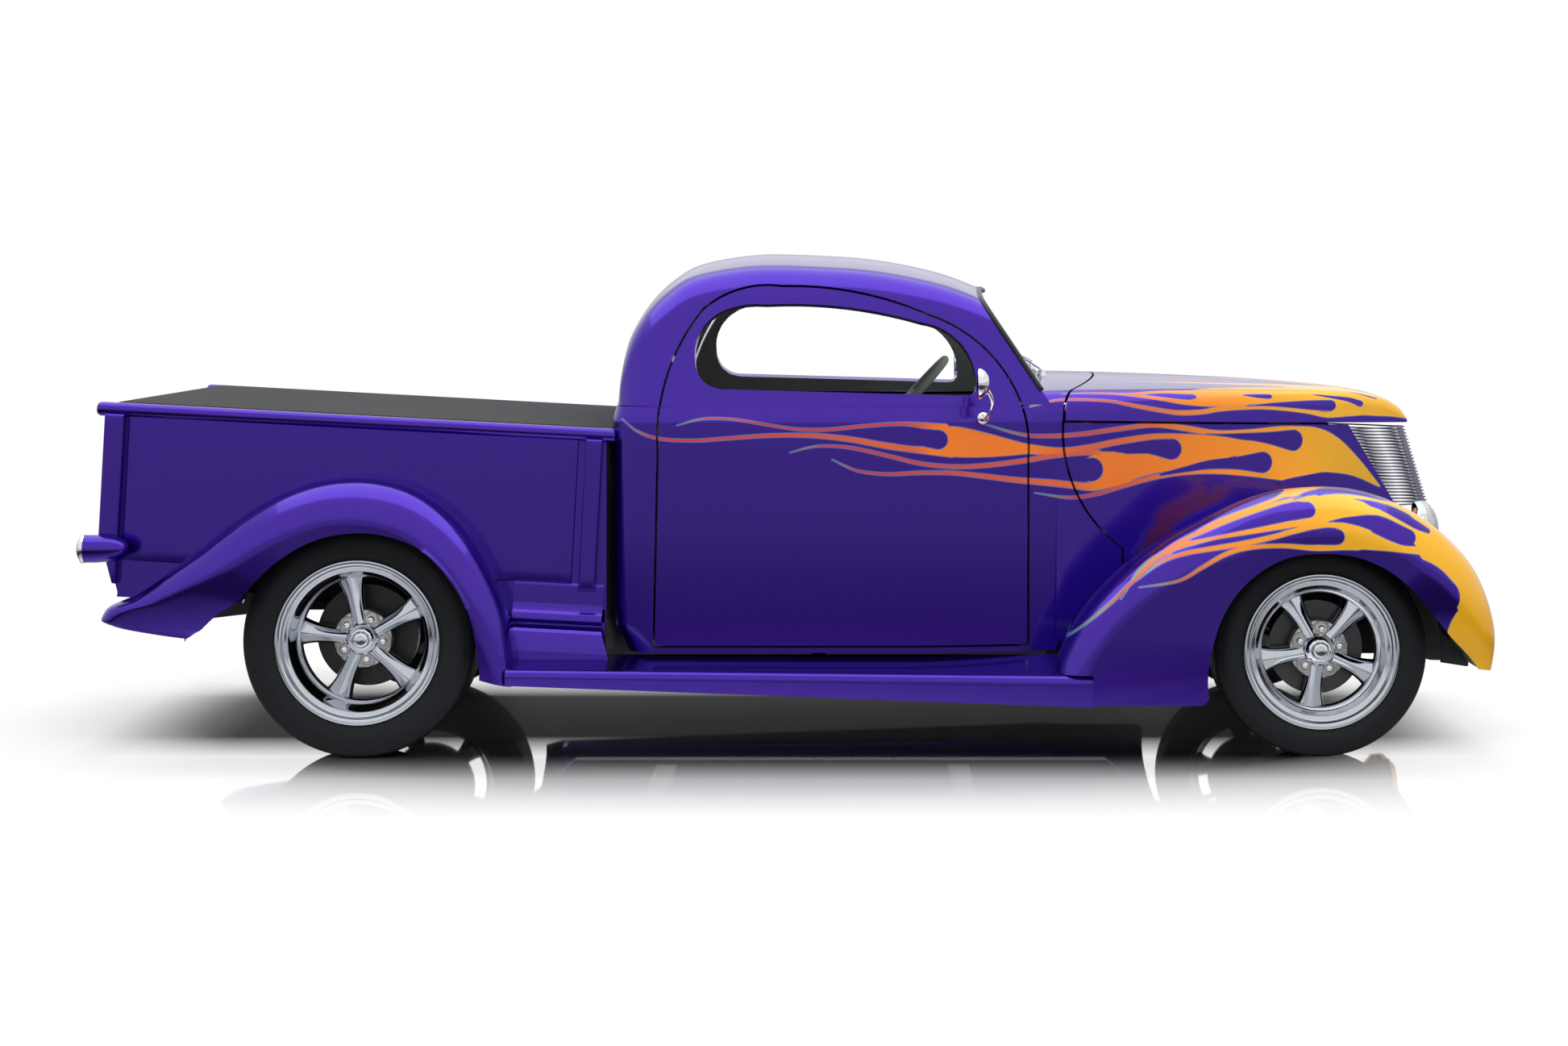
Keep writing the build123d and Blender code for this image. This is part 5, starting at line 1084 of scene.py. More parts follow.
def lamp_field(points):
    """Positive outside the lamp's round hole."""
    tilt = math.radians(LAMP_TILT)
    axis = np.array((math.cos(tilt), 0, math.sin(tilt)))
    offset = points - LAMP_CENTRE
    along = offset @ axis
    away = np.linalg.norm(offset - along[:, None] * axis, axis=1)
    return np.where(along > -60, away - LAMP_RADIUS - 3, AWAY)


INSIDE = (200.0, 0.0, 800.0)
WALL = 38.0
SEAL_RADIUS = 8.0
SEAL_FOOT_Z = 1078.0


def cut_line(skin, field, count):
    """Even line along a cut of a right-hand skin, from its foot to the middle and on over the left."""
    points = skin[0][(np.abs(field(skin[0])) < 0.5) & (skin[0][:, 2] > SEAL_FOOT_Z)]
    points = points[np.argsort(np.arctan2(points[:, 2] - BELT_Z, -points[:, 1]))]
    way = np.concatenate([[0], np.cumsum(np.linalg.norm(np.diff(points, axis=0), axis=1))])
    even = np.linspace(0, way[-1], count)
    right = np.column_stack([np.interp(even, way, points[:, k]) for k in range(3)])
    return np.vstack([right, right[-2::-1] * (1, -1, 1)])


def lined(skin, depth):
    """Coarse inner lining: the skin moved inwards."""
    points, faces = skin
    return points - point_normals(points, faces) * depth, faces


def build_cab():
    """Cab shell, doors and their linings."""
    side_s = spans((0, 1, 60), (1, 2, 84), (2, 3, 13), (3, 4, 40))
    heights = spans((303, 383, 9), (383, 760, 34), (760, 985, 28), (985, 1035, 9))

    def flame_edge(points):
        return np.where(points[:, 0] > CAB_BACK_X + 4, SIDE_FLAMES.edge(side_map(points)), -999)

    tub = facing_out(detailed_skin(tub_surface, side_s, heights, flame_edge), INSIDE)
    stations = spans((0, 4, 33), (4, 8, 60), (8, 11, 50))
    ups = spans((0, 1, 30), (1, 2, 16), (2, 3, 36))
    roof = facing_out(clip(grid_skin(roof_surface, stations, ups), windshield_field), INSIDE)
    coarse_tub = facing_out(grid_skin(tub_surface, side_s[::3], heights[::3]), INSIDE)
    coarse_roof = facing_out(clip(grid_skin(roof_surface, stations[::2], ups[::2]), windshield_field), INSIDE)

    def outside_door(points):
        return -door_field(points) - PANEL_GAP

    def outside_window(points):
        return -window_field(points)

    def below_cowl(points):
        return np.where(points[:, 0] > CAB_UNDER_COWL[0], CAB_UNDER_COWL[1] - points[:, 2], AWAY)

    tub_door = clip(tub, door_field)
    tub_cab = clip(clip(tub, outside_door), below_cowl)
    roof_door = clip(clip(roof, door_field), outside_window)
    roof_cab = clip(roof, outside_door)

    def rear_glass_field(points):
        beyond = np.maximum(np.abs(points[:, 1]) - REAR_GLASS_STRAIGHT, 0)
        field = np.hypot(beyond, points[:, 2] - REAR_GLASS_Z) - REAR_GLASS_RADIUS
        return np.where(points[:, 0] < REAR_GLASS_LIMIT_X, field, AWAY)

    roof_cab = clip(roof_cab, rear_glass_field)
    lining_cab = [lined(clip(clip(coarse_tub, outside_door), below_cowl), WALL),
                  lined(clip(clip(coarse_roof, outside_door), rear_glass_field), WALL)]
    lining_door = [lined(clip(coarse_tub, door_field), WALL),
                   lined(clip(clip(coarse_roof, door_field), outside_window), WALL)]
    both_cab = [tub_cab, roof_cab, mirrored(tub_cab), mirrored(roof_cab)]
    both_lining = lining_cab + [mirrored(skin) for skin in lining_cab]
    flames = (side_map, SIDE_FLAMES)
    panel("cab_shell", both_cab, "chassis", WALL, ("cab_lower", "cab_roof"), flames, both_lining)
    piece("windshield_seal", tube(cut_line(roof, windshield_field, 60), SEAL_RADIUS), [BLACK_TRIM], "chassis")
    for side, turn in SIDES.items():
        skins = [turn(tub_door), turn(roof_door)]
        lining = [turn(skin) for skin in lining_door]
        panel("door_skin_" + side, skins, "door_" + side, WALL, ("door_" + side,), flames, lining)


def build_nose():
    """Hood, cowl top, hood sides and cowl sides."""
    def flame_edge(points):
        return HOOD_FLAMES.edge(hood_map(points))

    def before_windshield(points):
        return COWL_SETBACK - windshield_field(points)

    nose = detailed_skin(nose_surface, spans(*NOSE_X_SPAN), spans(*NOSE_V_SPAN), flame_edge)
    nose = facing_out(nose, NOSE_MIDDLE)
    hood = clip(clip(nose, lambda p: p[:, 2] - hood_line_z(p[:, 0])), lambda p: -cowl_field(p) - PANEL_GAP)
    cowl = clip(clip(nose, cowl_field), lambda p: p[:, 2] - COWL_FOOT_Z)
    cowl = clip(cowl, lambda p: np.maximum(before_windshield(p), BELT_Z + 4 - p[:, 2]))
    cowl = clip(cowl, lambda p: p[:, 0] - COWL_BACK_X)
    flames = (hood_map, HOOD_FLAMES)
    panel("hood_skin", [hood, mirrored(hood)], "hood", HOOD_RIM, ("hood",), flames)
    panel("cowl_skin", [cowl, mirrored(cowl)], "chassis", PANEL_RIM, ("cowl_top",), flames)
    foot = cut_line(cowl, before_windshield, 50)
    piece("windshield_foot_seal", tube(foot, SEAL_RADIUS), [BLACK_TRIM], "chassis")

    def side_surface(x, z):
        return np.column_stack([x, -nose_half_width(x), z])

    def side_edge(points):
        return SIDE_FLAMES.edge(side_map(points))

    hood_polygon = outline_points(HOOD_SIDE_OUTLINE)
    cowl_polygon = outline_points(COWL_SIDE_OUTLINE)

    def hood_side_field(points):
        below = hood_line_z(points[:, 0]) - PANEL_GAP - points[:, 2]
        return np.minimum(inside_by(side_map(points), hood_polygon), below)

    def cowl_side_field(points):
        return np.minimum(inside_by(side_map(points), cowl_polygon), COWL_SIDE_TOP_Z - points[:, 2])

    grid = detailed_skin(side_surface, spans(HOOD_SIDE_X_SPAN), spans(*HOOD_SIDE_Z_SPAN), side_edge)
    grid = facing_out(grid, HOOD_SIDE_MIDDLE)
    sides = clip(grid, hood_side_field)
    cowl_sides = clip(grid, cowl_side_field)
    flames = (side_map, SIDE_FLAMES)
    panel("hood_side_skins", [sides, mirrored(sides)], "chassis", PANEL_RIM, ("hood_sides",), flames)
    panel("cowl_side_skins", [cowl_sides, mirrored(cowl_sides)], "chassis", PANEL_RIM, (), flames)


def build_fenders():
    """Front and rear fenders, each one flowing sheet with a turned lip."""
    def hood_limit(x):
        return np.where(x > 1940, 60.0, nose_half_width(np.minimum(x, NOSE_X))) + 1

    def flame_edge(points):
        return FENDER_FLAMES.edge(side_map(points))

    def above_foot(points):
        return np.minimum(points[:, 2] - FRONT_FENDER_FOOT_Z, points[:, 0] - FRONT_FENDER_BACK_X)

    def over_board(points):
        return np.maximum(points[:, 0] - BOARD_X[1], points[:, 2] - np.interp(-points[:, 1], *BOARD_SLOPE))

    def rounded_corner(points):
        offset = points[:, [0, 2]] - FENDER_CORNER[:2]
        beyond = (offset[:, 0] > 0) & (offset[:, 1] < 0)
        return np.where(beyond, FENDER_CORNER[2] - np.hypot(offset[:, 0], offset[:, 1]), AWAY)

    across = spans((0, 1, 26), (1, 2, 24), (2, 3, 24))
    surface = fender_surface(FRONT_AXLE, FRONT_FENDER, hood_limit)
    front = detailed_skin(surface, spans((-6, 130, 114), (130, 203, 84)), across, flame_edge)
    for field in (above_foot, over_board, rounded_corner, lamp_field):
        front = clip(front, field)
    front = facing_out(front, FRONT_ARCH_MIDDLE)
    surface = fender_surface(REAR_AXLE, REAR_FENDER, None)
    rear = grid_skin(surface, spans((-15, 145, 130), (145, 174, 46), (174, 178.2, 30)), across[::2])
    rear = facing_out(rear, REAR_ARCH_MIDDLE)
    flames = (side_map, FENDER_FLAMES)
    panel("front_fender_right", [front], "chassis", PANEL_RIM, ("front_fenders",), flames)
    panel("front_fender_left", [mirrored(front)], "chassis", PANEL_RIM, (), flames)
    panel("rear_fender_skins", [rear, mirrored(rear)], "chassis", PANEL_RIM, ("rear_fenders",))

    def under_fender(points, drop):
        offset = points[:, [0, 2]] - FRONT_AXLE
        angle = np.degrees(np.arctan2(offset[:, 1], offset[:, 0]))
        crown = smooth_through(FRONT_FENDER[:, 0], FRONT_FENDER[:, 1], np.clip(angle, -6, 130))
        return crown - drop - np.hypot(offset[:, 0], offset[:, 1])

    def upright(y, x_range, foot, drop):
        """Flat black panel under the fender, with a turned edge."""
        def surface(x, z):
            return np.column_stack([x, np.full_like(x, -y), z])

        sheet = grid_skin(surface, np.linspace(*x_range, 40), np.linspace(240, 800, 60))
        sheet = clip(sheet, lambda p: np.minimum(under_fender(p, drop), p[:, 2] - np.interp(p[:, 0], *foot)))
        sheet = facing_out(sheet, (1800, 0, 400))
        return joined(sheet, rim_of(sheet, 6))

    def liner_surface(angle, share):
        lip, y_in, y_out = (smooth_through(FRONT_FENDER[:, 0], FRONT_FENDER[:, c], angle) for c in (2, 3, 4))
        radius = np.maximum(lip + 6, LINER_RADIUS)
        inner = np.maximum(y_in + 6, APRON_Y)
        y = inner + (y_out - 16 - inner) * share
        out = np.radians(angle)
        x = FRONT_AXLE[0] + radius * np.cos(out)
        z = FRONT_AXLE[1] + radius * np.sin(out)
        return np.column_stack([x, -y, z])

    liner = grid_skin(liner_surface, np.linspace(-6, 75, 60), np.linspace(0, 1, 12))
    liner = facing_out(liner, FRONT_ARCH_MIDDLE)
    apron = upright(APRON_Y, APRON_X, APRON_FOOT, APRON_DROP)
    splash = upright(SPLASH_Y, SPLASH_X, SPLASH_FOOT, SPLASH_DROP)
    closing = joined(apron, splash, liner, rim_of(liner, -5))
    piece("nose_aprons", both(closing), [CHASSIS], "chassis")


def build_boards():
    """Running boards with a rolled outer edge."""
    def surface(x, t):
        share = (x - BOARD_X[0]) / (BOARD_X[1] - BOARD_X[0])
        top = BOARD_TOP_Z - BOARD_FALL * share
        foot = top - BOARD_DEPTH - BOARD_DEPTH * share
        turn = np.radians(90) * np.clip(t - 1, 0, 1)
        bend_y = BOARD_EDGE_Y - BOARD_ROLL
        y = np.where(t <= 2, bend_y + BOARD_ROLL * np.sin(turn), BOARD_EDGE_Y - 3 * np.clip(t - 2, 0, 1))
        y = np.where(t <= 1, BOARD_INNER_Y + (bend_y - BOARD_INNER_Y) * t, y)
        low = top + 4 - BOARD_ROLL
        z = np.where(t <= 2, top + 4 - BOARD_ROLL * (1 - np.cos(turn)), low + (foot - low) * (t - 2))
        z = np.where(t <= 1, BOARD_CREST_Z + (top + 4 - BOARD_CREST_Z) * t, z)
        return np.column_stack([x, -y, z])

    across = spans((0, 1, 12), (1, 2, 10), (2, 3, 8))
    board = facing_out(grid_skin(surface, np.linspace(*BOARD_X, 120), across), (0, -750, 0))
    panel("running_board_skins", [board, mirrored(board)], "chassis", 10, ("running_boards",))


# Wheels
def tyre_profile(radius, width, rim_radius):
    """Sidewall with ribs, round shoulder and grooved tread, from the outer bead to the inner one."""
    half = width / 2
    bulge = rim_radius + (radius - rim_radius) * 0.52
    foot = (rim_radius + 16, half - 5.5)
    wall_top = (radius - 16, half - 12)
    tread_edge = (radius - 1.5, half - 32)
    bead = [(rim_radius - 2, half - 14), (rim_radius + 3, half - 11), (rim_radius + 9, half - 8),
            (rim_radius + 12, half - 8.6), foot]
    wall = arc_through(foot, (bulge, half), wall_top, 14).tolist()
    shoulder = arc_through(wall_top, (radius - 6, half - 19), tread_edge, 8).tolist()
    tread = []
    for k in range(-2, 3):
        middle = -k * (half - 42) / 2
        tread += [(radius, middle + 5), (radius - 7, middle + 4)]
        tread += [(radius - 7, middle - 4), (radius, middle - 5)]
    right = bead + wall[1:] + shoulder[1:]
    return right + tread + [(r, -y) for r, y in right[::-1]]


def wheel_skins(axle, face_y, width, rim_radius, dish, first_spoke):
    """Right-hand wheel as skins: tyre, lip with spokes, inner barrel, lug pad, and chrome cap with nuts."""
    axle_x, axle_z = axle
    radius = axle_z
    tyre = lathe(tyre_profile(radius, width, rim_radius), (axle_x, -face_y + width / 2, axle_z), 128)
    throat = rim_radius - 53
    step = rim_radius - 26

    def turned(profile, place, segments):
        """Skin turned from (radius, depth behind the spokes' face) points."""
        return lathe([(r, dish + depth) for r, depth in profile], place, segments, outward=1)

    face = (axle_x, -face_y, axle_z)
    flange = [(rim_radius + 8, 12), (rim_radius + 9, 6), (rim_radius + 8, 2), (rim_radius + 4, 0.5),
              (rim_radius - 3, 1), (rim_radius - 8, 4), (rim_radius - 11, 10), (rim_radius - 13, 17),
              (rim_radius - 18, 20)]
    dished = [(step, 21.5), (step - 2, 24), (step - 5, 0.55 * dish + 2), (step - 12, 0.8 * dish + 2),
              (throat + 7, dish), (throat + 2, dish + 3), (throat, dish + 8)]
    back = [(throat, dish + 34), (throat + 12, dish + 44), (rim_radius - 16, width - 30),
            (rim_radius - 9, width - 10), (rim_radius + 8, width - 2)]
    barrel = lathe(flange + dished, face, 128, outward=1)
    inner = lathe(dished[-1:] + back, face, 128, outward=1)
    spokes = []
    pockets = []
    nuts = []
    pitch = 360 / SPOKES
    for k in range(SPOKES):
        angle = math.radians(first_spoke + pitch * k)
        spokes.append(spoke(axle, face_y, throat, dish, angle))
        between = angle + math.radians(pitch / 2)
        lug_x = axle_x + LUG_CIRCLE * math.cos(between)
        lug_z = axle_z + LUG_CIRCLE * math.sin(between)
        place = (lug_x, -face_y, lug_z)
        pockets.append(turned([(25, 8), (23, 4), (20, 3), (18, 6), (17, 9.5)], place, 28))
        nuts.append(turned([(0, -8), (6, -7), (10, -3), (12, 3), (12.5, 21)], place, 16))
    pad = turned([(30, 4), (40, 6), (80, 9), (86, 11), (88, 15), (88, 44)], face, 96)
    collar = turned([(25, -22), (29, -24), (33, -21), (43, -12), (49, -6), (51, 10)], face, 10)
    cap = turned([(0, -31), (15, -30.5), (20, -30), (24, -27), (25, 0)], face, 8)
    return tyre, joined(barrel, *spokes), inner, joined(pad, *pockets), joined(cap, collar, *nuts)


def spoke(axle, face_y, inner, dish, angle):
    """Spoke with a raised ridge, slim in the middle and flared into the barrel and the hub."""
    reach = np.linspace(34, inner + 3, 24)
    share = (reach - reach[0]) / (reach[-1] - reach[0])
    half = 21.5 + 3 * (1 - share) ** 3 + 4 * share + 18 * share ** 4
    face = dish - 8 + 12 * share ** 2 + 3 * np.sin(math.pi * share)
    half_across = np.array((0.0, 0.1, 0.25, 0.45, 0.66, 0.86, 0.97, 1.0))
    half_drop = np.array((0.0, 0.5, 2.5, 6.0, 9.5, 13.5, 20.0, 44.0))
    across = np.concatenate([-half_across[:0:-1], half_across])
    drop = np.concatenate([half_drop[:0:-1], half_drop])
    t = across[None, :] * half[:, None]
    depth = face[:, None] + drop[None, :]
    r = np.broadcast_to(reach[:, None], t.shape)
    x = axle[0] + r * math.cos(angle) - t * math.sin(angle)
    z = axle[1] + r * math.sin(angle) + t * math.cos(angle)
    points = np.stack([x, -face_y + depth, z], -1).reshape(-1, 3)
    return points, [face[::-1] for face in grid_faces(len(reach), len(across))]


def build_wheels():
    """Four wheels, each riding on its own wheel body."""
    for end, sizes in WHEELS.items():
        tyre, wheel, barrel, pad, hub = wheel_skins(*sizes)
        for side, turn in SIDES.items():
            place = end + "_" + side
            body = "wheel_" + place
            piece("tyre_skin_" + place, turn(tyre), [RUBBER], body, ("tyre_" + place,))
            piece("rim_skin_" + place, turn(wheel), [ALLOY], body, ("rim_" + place,))
            # The inner barrel is dark cast iron instead of the wheel's alloy: painted shade in the wheel's
            # deep recess
            piece("rim_barrel_painted_shade_" + place, turn(barrel), [IRON], body)
            piece("lug_pad_" + place, turn(pad), [CAST_ALLOY], body)
            piece("hub_cap_" + place, turn(hub), [CHROME], body)


# Bed, lamps, glass and trim
def raked(skin):
    """Skin of the level bed turned to the bed's rake."""
    points, faces = skin
    turn = math.radians(BED_RAKE)
    dx, dz = points[:, 0] - BED_PIVOT[0], points[:, 2] - BED_PIVOT[1]
    x = BED_PIVOT[0] + dx * math.cos(turn) + dz * math.sin(turn)
    z = BED_PIVOT[1] - dx * math.sin(turn) + dz * math.cos(turn)
    return np.column_stack([x, points[:, 1], z]), faces


def plate(x_range, z_range, proud, ease):
    """Raised plate on the bed's right face with eased edges; it sinks 2 mm into the face."""
    wall = proud - ease + 2
    steps = ease * (1 - np.cos(np.radians(np.linspace(0, 90, 7))))

    def line(low, high):
        flat = np.linspace(low + ease, high - ease, 14)[1:-1]
        return np.concatenate([[low - wall], low + steps, flat, high - steps[::-1], [high + wall]])

    def surface(u, v):
        x = np.clip(u, *x_range)
        z = np.clip(v, *z_range)
        beyond = np.maximum(np.abs(u - x), np.abs(v - z))
        edge = np.minimum.reduce([x - x_range[0], x_range[1] - x, z - z_range[0], z_range[1] - z])
        inner = 1 - np.clip(edge / ease, 0, 1)
        y = BED_FACE_Y + proud - ease + ease * np.sqrt(1 - inner ** 2) - beyond
        return np.column_stack([x, -y, z])

    middle = (sum(x_range) / 2, 0, sum(z_range) / 2)
    return facing_out(grid_skin(surface, line(*x_range), line(*z_range)), middle)


def build_bed():
    """Bed sides with rails, stakes and raised panels, and the stepped sills in front of the rear fenders."""
    corner = np.vstack([arc_through(*BED_PAN_CORNER, 16), [(-2070, 380)], [(-2070, 578)]])

    def before_pan(points):
        return -inside_by(side_map(points), corner)

    def side_wall(y):
        def surface(x, z):
            return np.column_stack([x, np.full_like(x, -y), z])

        wall = grid_skin(surface, np.linspace(*BED_SIDE_X, 100), np.linspace(*BED_SIDE_Z, 44))
        wall = raked(clip(wall, before_pan))
        wall = clip(wall, lambda p: np.hypot(p[:, 0] - REAR_AXLE[0], p[:, 2] - REAR_AXLE[1]) - WHEEL_TUB)
        return clip(wall, lambda p: BED_FRONT_LIMIT - p[:, 0])

    outer = facing_out(side_wall(BED_FACE_Y), (-1300, 0, 600))
    inner = facing_out(side_wall(BED_FACE_Y - BED_WALL), (-1300, -900, 600))
    ends = np.array(RAIL_ENDS)
    rail_line = [(x, -RAIL_Y, RAIL_Z) for x in ends[:, 0]]
    rail = tube(rail_line, ends[:, 1], 28)
    trim = [raked(rail), raked(plate(PANEL_X, PANEL_Z, PANEL_PROUD, 4.0))]
    rear_stake = clip(plate(*REAR_STAKE, STAKE_PROUD, 7.0), before_pan)
    trim += [raked(joined(rear_stake, rim_of(rear_stake, 20))), raked(plate(*FRONT_STAKE, STAKE_PROUD, 7.0))]
    right = joined(outer, rim_of(outer, BED_WALL), inner, *trim)
    piece("bed_side_skins", both(right), [PAINT], "chassis", ("bed_sides",))

    profile = np.array(SILL_PROFILE, float)
    way = np.concatenate([[0], np.cumsum(np.linalg.norm(np.diff(profile, axis=0), axis=1))])

    def sill_surface(share, along):
        out = np.interp(along, way, profile[:, 0])
        height = np.interp(along, way, profile[:, 1])
        flare = SILL_FLARE[1] * np.clip((SILL_FLARE[0] - height) / (SILL_FLARE[0] - profile[-1, 1]), 0, 1)
        return np.column_stack([SILL_X[0] + (SILL_X[1] + flare - SILL_X[0]) * share, -out, height])

    fine = np.unique(np.concatenate([way, np.linspace(0, way[-1], 90)]))
    sill = raked(facing_out(grid_skin(sill_surface, np.linspace(0, 1, 30), fine), (-700, 0, 300)))
    panel("bed_sill_skins", [sill, mirrored(sill)], "chassis", 10)


def build_lamps():
    """Head lamps under clear domes and red tail lamps in chrome rings."""
    tilt = math.radians(LAMP_TILT)

    def tilted(profile, segments=64):
        """Skin of a head lamp turned about its axis, tilted and put in its place."""
        points, faces = lathe(profile, (0, 0, 0), segments, "x", 1)
        x, y, z = (points * LAMP_SCALE).T
        turned_x = x * math.cos(tilt) - z * math.sin(tilt)
        turned_z = x * math.sin(tilt) + z * math.cos(tilt)
        return np.column_stack([turned_x, y, turned_z]) + LAMP_CENTRE, faces

    bowl = tilted([(0, -22), (20, -20), (44, -10), (66, 8), (80, 34)])
    ring = tilted([(78, 30), (80, 37), (83, 39), (85, 34), (86, 8)])
    dome = tilted([(90, 8), (90, 30), (87, 45), (79, 57), (66, 67), (48, 74.5), (26, 79.5), (0, 81)])
    bulb = tilted([(0, 16), (7, 14), (10, 6), (8, -4), (6, -18)], 24)
    metal = joined(bowl, ring, bulb)
    piece("head_lamp_bowls", both(metal), [CHROME], "chassis", ("headlight_buckets",))
    piece("head_lamp_domes", both(dome), [CLEAR], "chassis", ("headlight_lenses",))

    def tail(profile):
        return lathe(profile, TAIL_LAMP, 48, "x", 1)

    shell = tail([(0, 134), (14, 131), (24, 122), (32, 106), (36, 90), (39, 65), (41, 40), (41, 0)])
    ring = tail([(41.5, 8), (43, 2), (42, -3), (38, -5), (35, -2)])
    lens = tail([(36, -2), (33, -8), (24, -13), (12, -15.5), (0, -16)])
    body = joined(shell, tube(TAIL_STEM, 12))
    piece("tail_lamp_shells", both(body), [PAINT], "chassis", ("tail_light_housings",))
    piece("tail_lamp_rings", both(ring), [CHROME], "chassis")
    piece("tail_lamp_lenses", both(lens), [RED_LENS], "chassis", ("tail_light_lenses",))


def build_mirrors():
    """Round chrome door mirrors on curved arms."""
    arm = tube(curve_through(MIRROR_ARM, 24), 6.5)
    foot = lathe([(0, 12), (10, 11), (17, 7), (20, 0), (20, -14)], MIRROR_FOOT, 32)
    rim = [(0, 26), (14, 25), (28, 20), (40, 10), (46, 0), (47, -6), (46, -10), (43, -10.5)]
    shell = lathe(rim, MIRROR_HEAD, 48, "x", 1)
    mirror = lathe([(43, -8), (0, -8)], MIRROR_HEAD, 48, "x", 1)
    whole = joined(arm, foot, shell, mirror)
    for side, turn in SIDES.items():
        piece("mirror_chrome_" + side, turn(whole), [CHROME], "door_" + side, ("mirror_" + side,))


def build_soft():
    """Taut bed cover and the bench seat."""
    front_x, rear_x = COVER_X
    length = front_x - rear_x

    def cover_surface(u, v):
        x = front_x + (rear_x - front_x) * u
        y = -COVER_HALF + 2 * COVER_HALF * v
        edge = np.minimum.reduce([(1 - np.abs(2 * v - 1)) * COVER_HALF, (1 - u) * length, u * length])
        sag = COVER_SAG * np.sin(math.pi * u) * np.sin(math.pi * v)
        return np.column_stack([x, y, COVER_TOP - COVER_TURN_DOWN * np.exp(-edge / 7) - sag])

    cover = grid_skin(cover_surface, np.linspace(0, 1, 90), np.linspace(0, 1, 84))
    cover = raked(facing_out(cover, (-1300, 0, 0)))
    cloth = piece("bed_cover_cloth", cover, [COVER_CLOTH], "chassis", ("tonneau_cover",))

    steps = 80
    profile = curve_through(SEAT_PROFILE, steps)
    place = np.linspace(0, 1, steps)

    def seat_surface(u, v):
        """Pleated bench: v runs from the front foot over the cushion and up the back, u across."""
        x = np.interp(v, place, profile[:, 0])
        z = np.interp(v, place, profile[:, 1])
        y = -SEAT_HALF_WIDTH + 2 * SEAT_HALF_WIDTH * u
        middle = np.clip(np.minimum(v - 0.2, 0.92 - v) * 12, 0, 1)
        pleat = SEAT_PLEAT_DEPTH * np.abs(np.sin(math.pi * SEAT_PLEATS * u)) * middle
        round_off = 22 * (np.clip(1 - np.minimum(u, 1 - u) * 16, 0, 1)) ** 2
        out = pleat - SEAT_PLEAT_DEPTH - round_off
        out_x = np.where(v < 0.45, 0.0, 0.95)
        out_z = np.where(v < 0.45, 1.0, 0.3)
        return np.column_stack([x + out_x * out, y, z + out_z * out])

    seat = grid_skin(seat_surface, np.linspace(0, 1, 140), np.linspace(0, 1, steps))
    seat = facing_out(seat, (-250, 0, 300))
    bench = piece("bench_seat", joined(seat, rim_of(seat, 60)), [SEAT_VINYL], "chassis", ("seat",))


def build_trim():
    """Wipers at the foot of the windshield, and black sheets in the gaps between cab and bed as painted
    shade.
    """
    wipers = []
    for side in (-1, 1):
        across = np.array((1.0, side, 1.0))
        knob = [(0, 26), (7, 24), (9, 16), (12, 8), (15, 0), (16, -8)]
        pivot = lathe(knob, WIPER_PIVOT * across, 24, "z", 1)
        arm = tube(curve_through(WIPER_ARM * across, 14), 3.0)
        blade = tube(curve_through(WIPER_BLADE * across, 14), 3.5)
        wipers += [pivot, arm, blade]
    piece("wipers", joined(*wipers), [CHROME], "chassis")

    # Black sheet that stands for the shadow in the cab-to-bed gap: painted shade, no real seal
    def gap_surface(u, z):
        front = np.interp(z, *GAP_FRONT)
        return np.column_stack([front + (GAP_REAR_X - front) * u, GAP_Y + 14 * np.sin(math.pi * u), z])

    strip = grid_skin(gap_surface, np.linspace(0, 1, 8), np.linspace(*GAP_Z, 30))
    strip = facing_out(strip, (-540, 0, 600))
    piece("bed_gap_painted_shade", both(strip), [BLACK_TRIM], "chassis")


build_cab()
build_nose()
build_fenders()
build_boards()
build_wheels()
build_bed()
build_lamps()
build_mirrors()
build_soft()
build_trim()

for node_name in ("bed_valances", "bed_front_panel", "tailgate", "roll_pan", "front_pan"):
    dress(node_name, PAINT, 2.5)
dress("windshield", TINTED)
dress("rear_window", GLASS)
for node_name in ("frame_rails", "crossmembers", "radiator", "rear_axle", "front_axle", "front_springs",
                  "rear_springs", "knuckle_right", "knuckle_left", "bed_floor", "cab_floor"):
    dress(node_name, CHASSIS, 2.0)
dress("engine_block", IRON, 4.0)
dress("grille", BARS)
dress("dashboard", PAINT, 6.0)
dress("steering_column", CHROME)
dress("steering_wheel", WHEEL_GREY)
for node_name in ("brake_disc_right", "brake_disc_left"):
    dress(node_name, IRON, 1.0)


# Floor, light and camera
# place from straight down at 0 to straight up at 1, brightness
SKY_LEVELS = ((0.37, 0.05), (0.41, 0.10), (0.44, 0.58), (0.47, 0.66), (0.52, 0.56), (0.70, 0.62))
# height of the view above the level where the white surroundings begin and are full, in mirror images
SKY_BAND = (0.05, 0.14)
SKY_FOOT = (0.05, 0.05, 0.06, 1)
SKY_TOP = (0.62, 0.62, 0.64, 1)
FLOOR_SIZE = 9000.0
FLOOR_CELLS = 40
FLOOR_Z = -0.5
FLOOR_PALE = (0.93, 0.93, 0.93)
# dark floor colour painted under the truck as its shadow
FLOOR_PAINTED_SHADOW = (0.03, 0.03, 0.03)
# half axes in metres of the oval where the floor has faded out
FLOOR_OVAL = (3.4, 2.3)
WHITE = (1.0, 1.0, 1.0)
CAMERA_PLACE = (0.183, -8.680, 1.400)
CAMERA_SENSOR = 36.0
CAMERA_LENS = 61.41
CAMERA_SHIFT = (-0.0398, -0.1524)


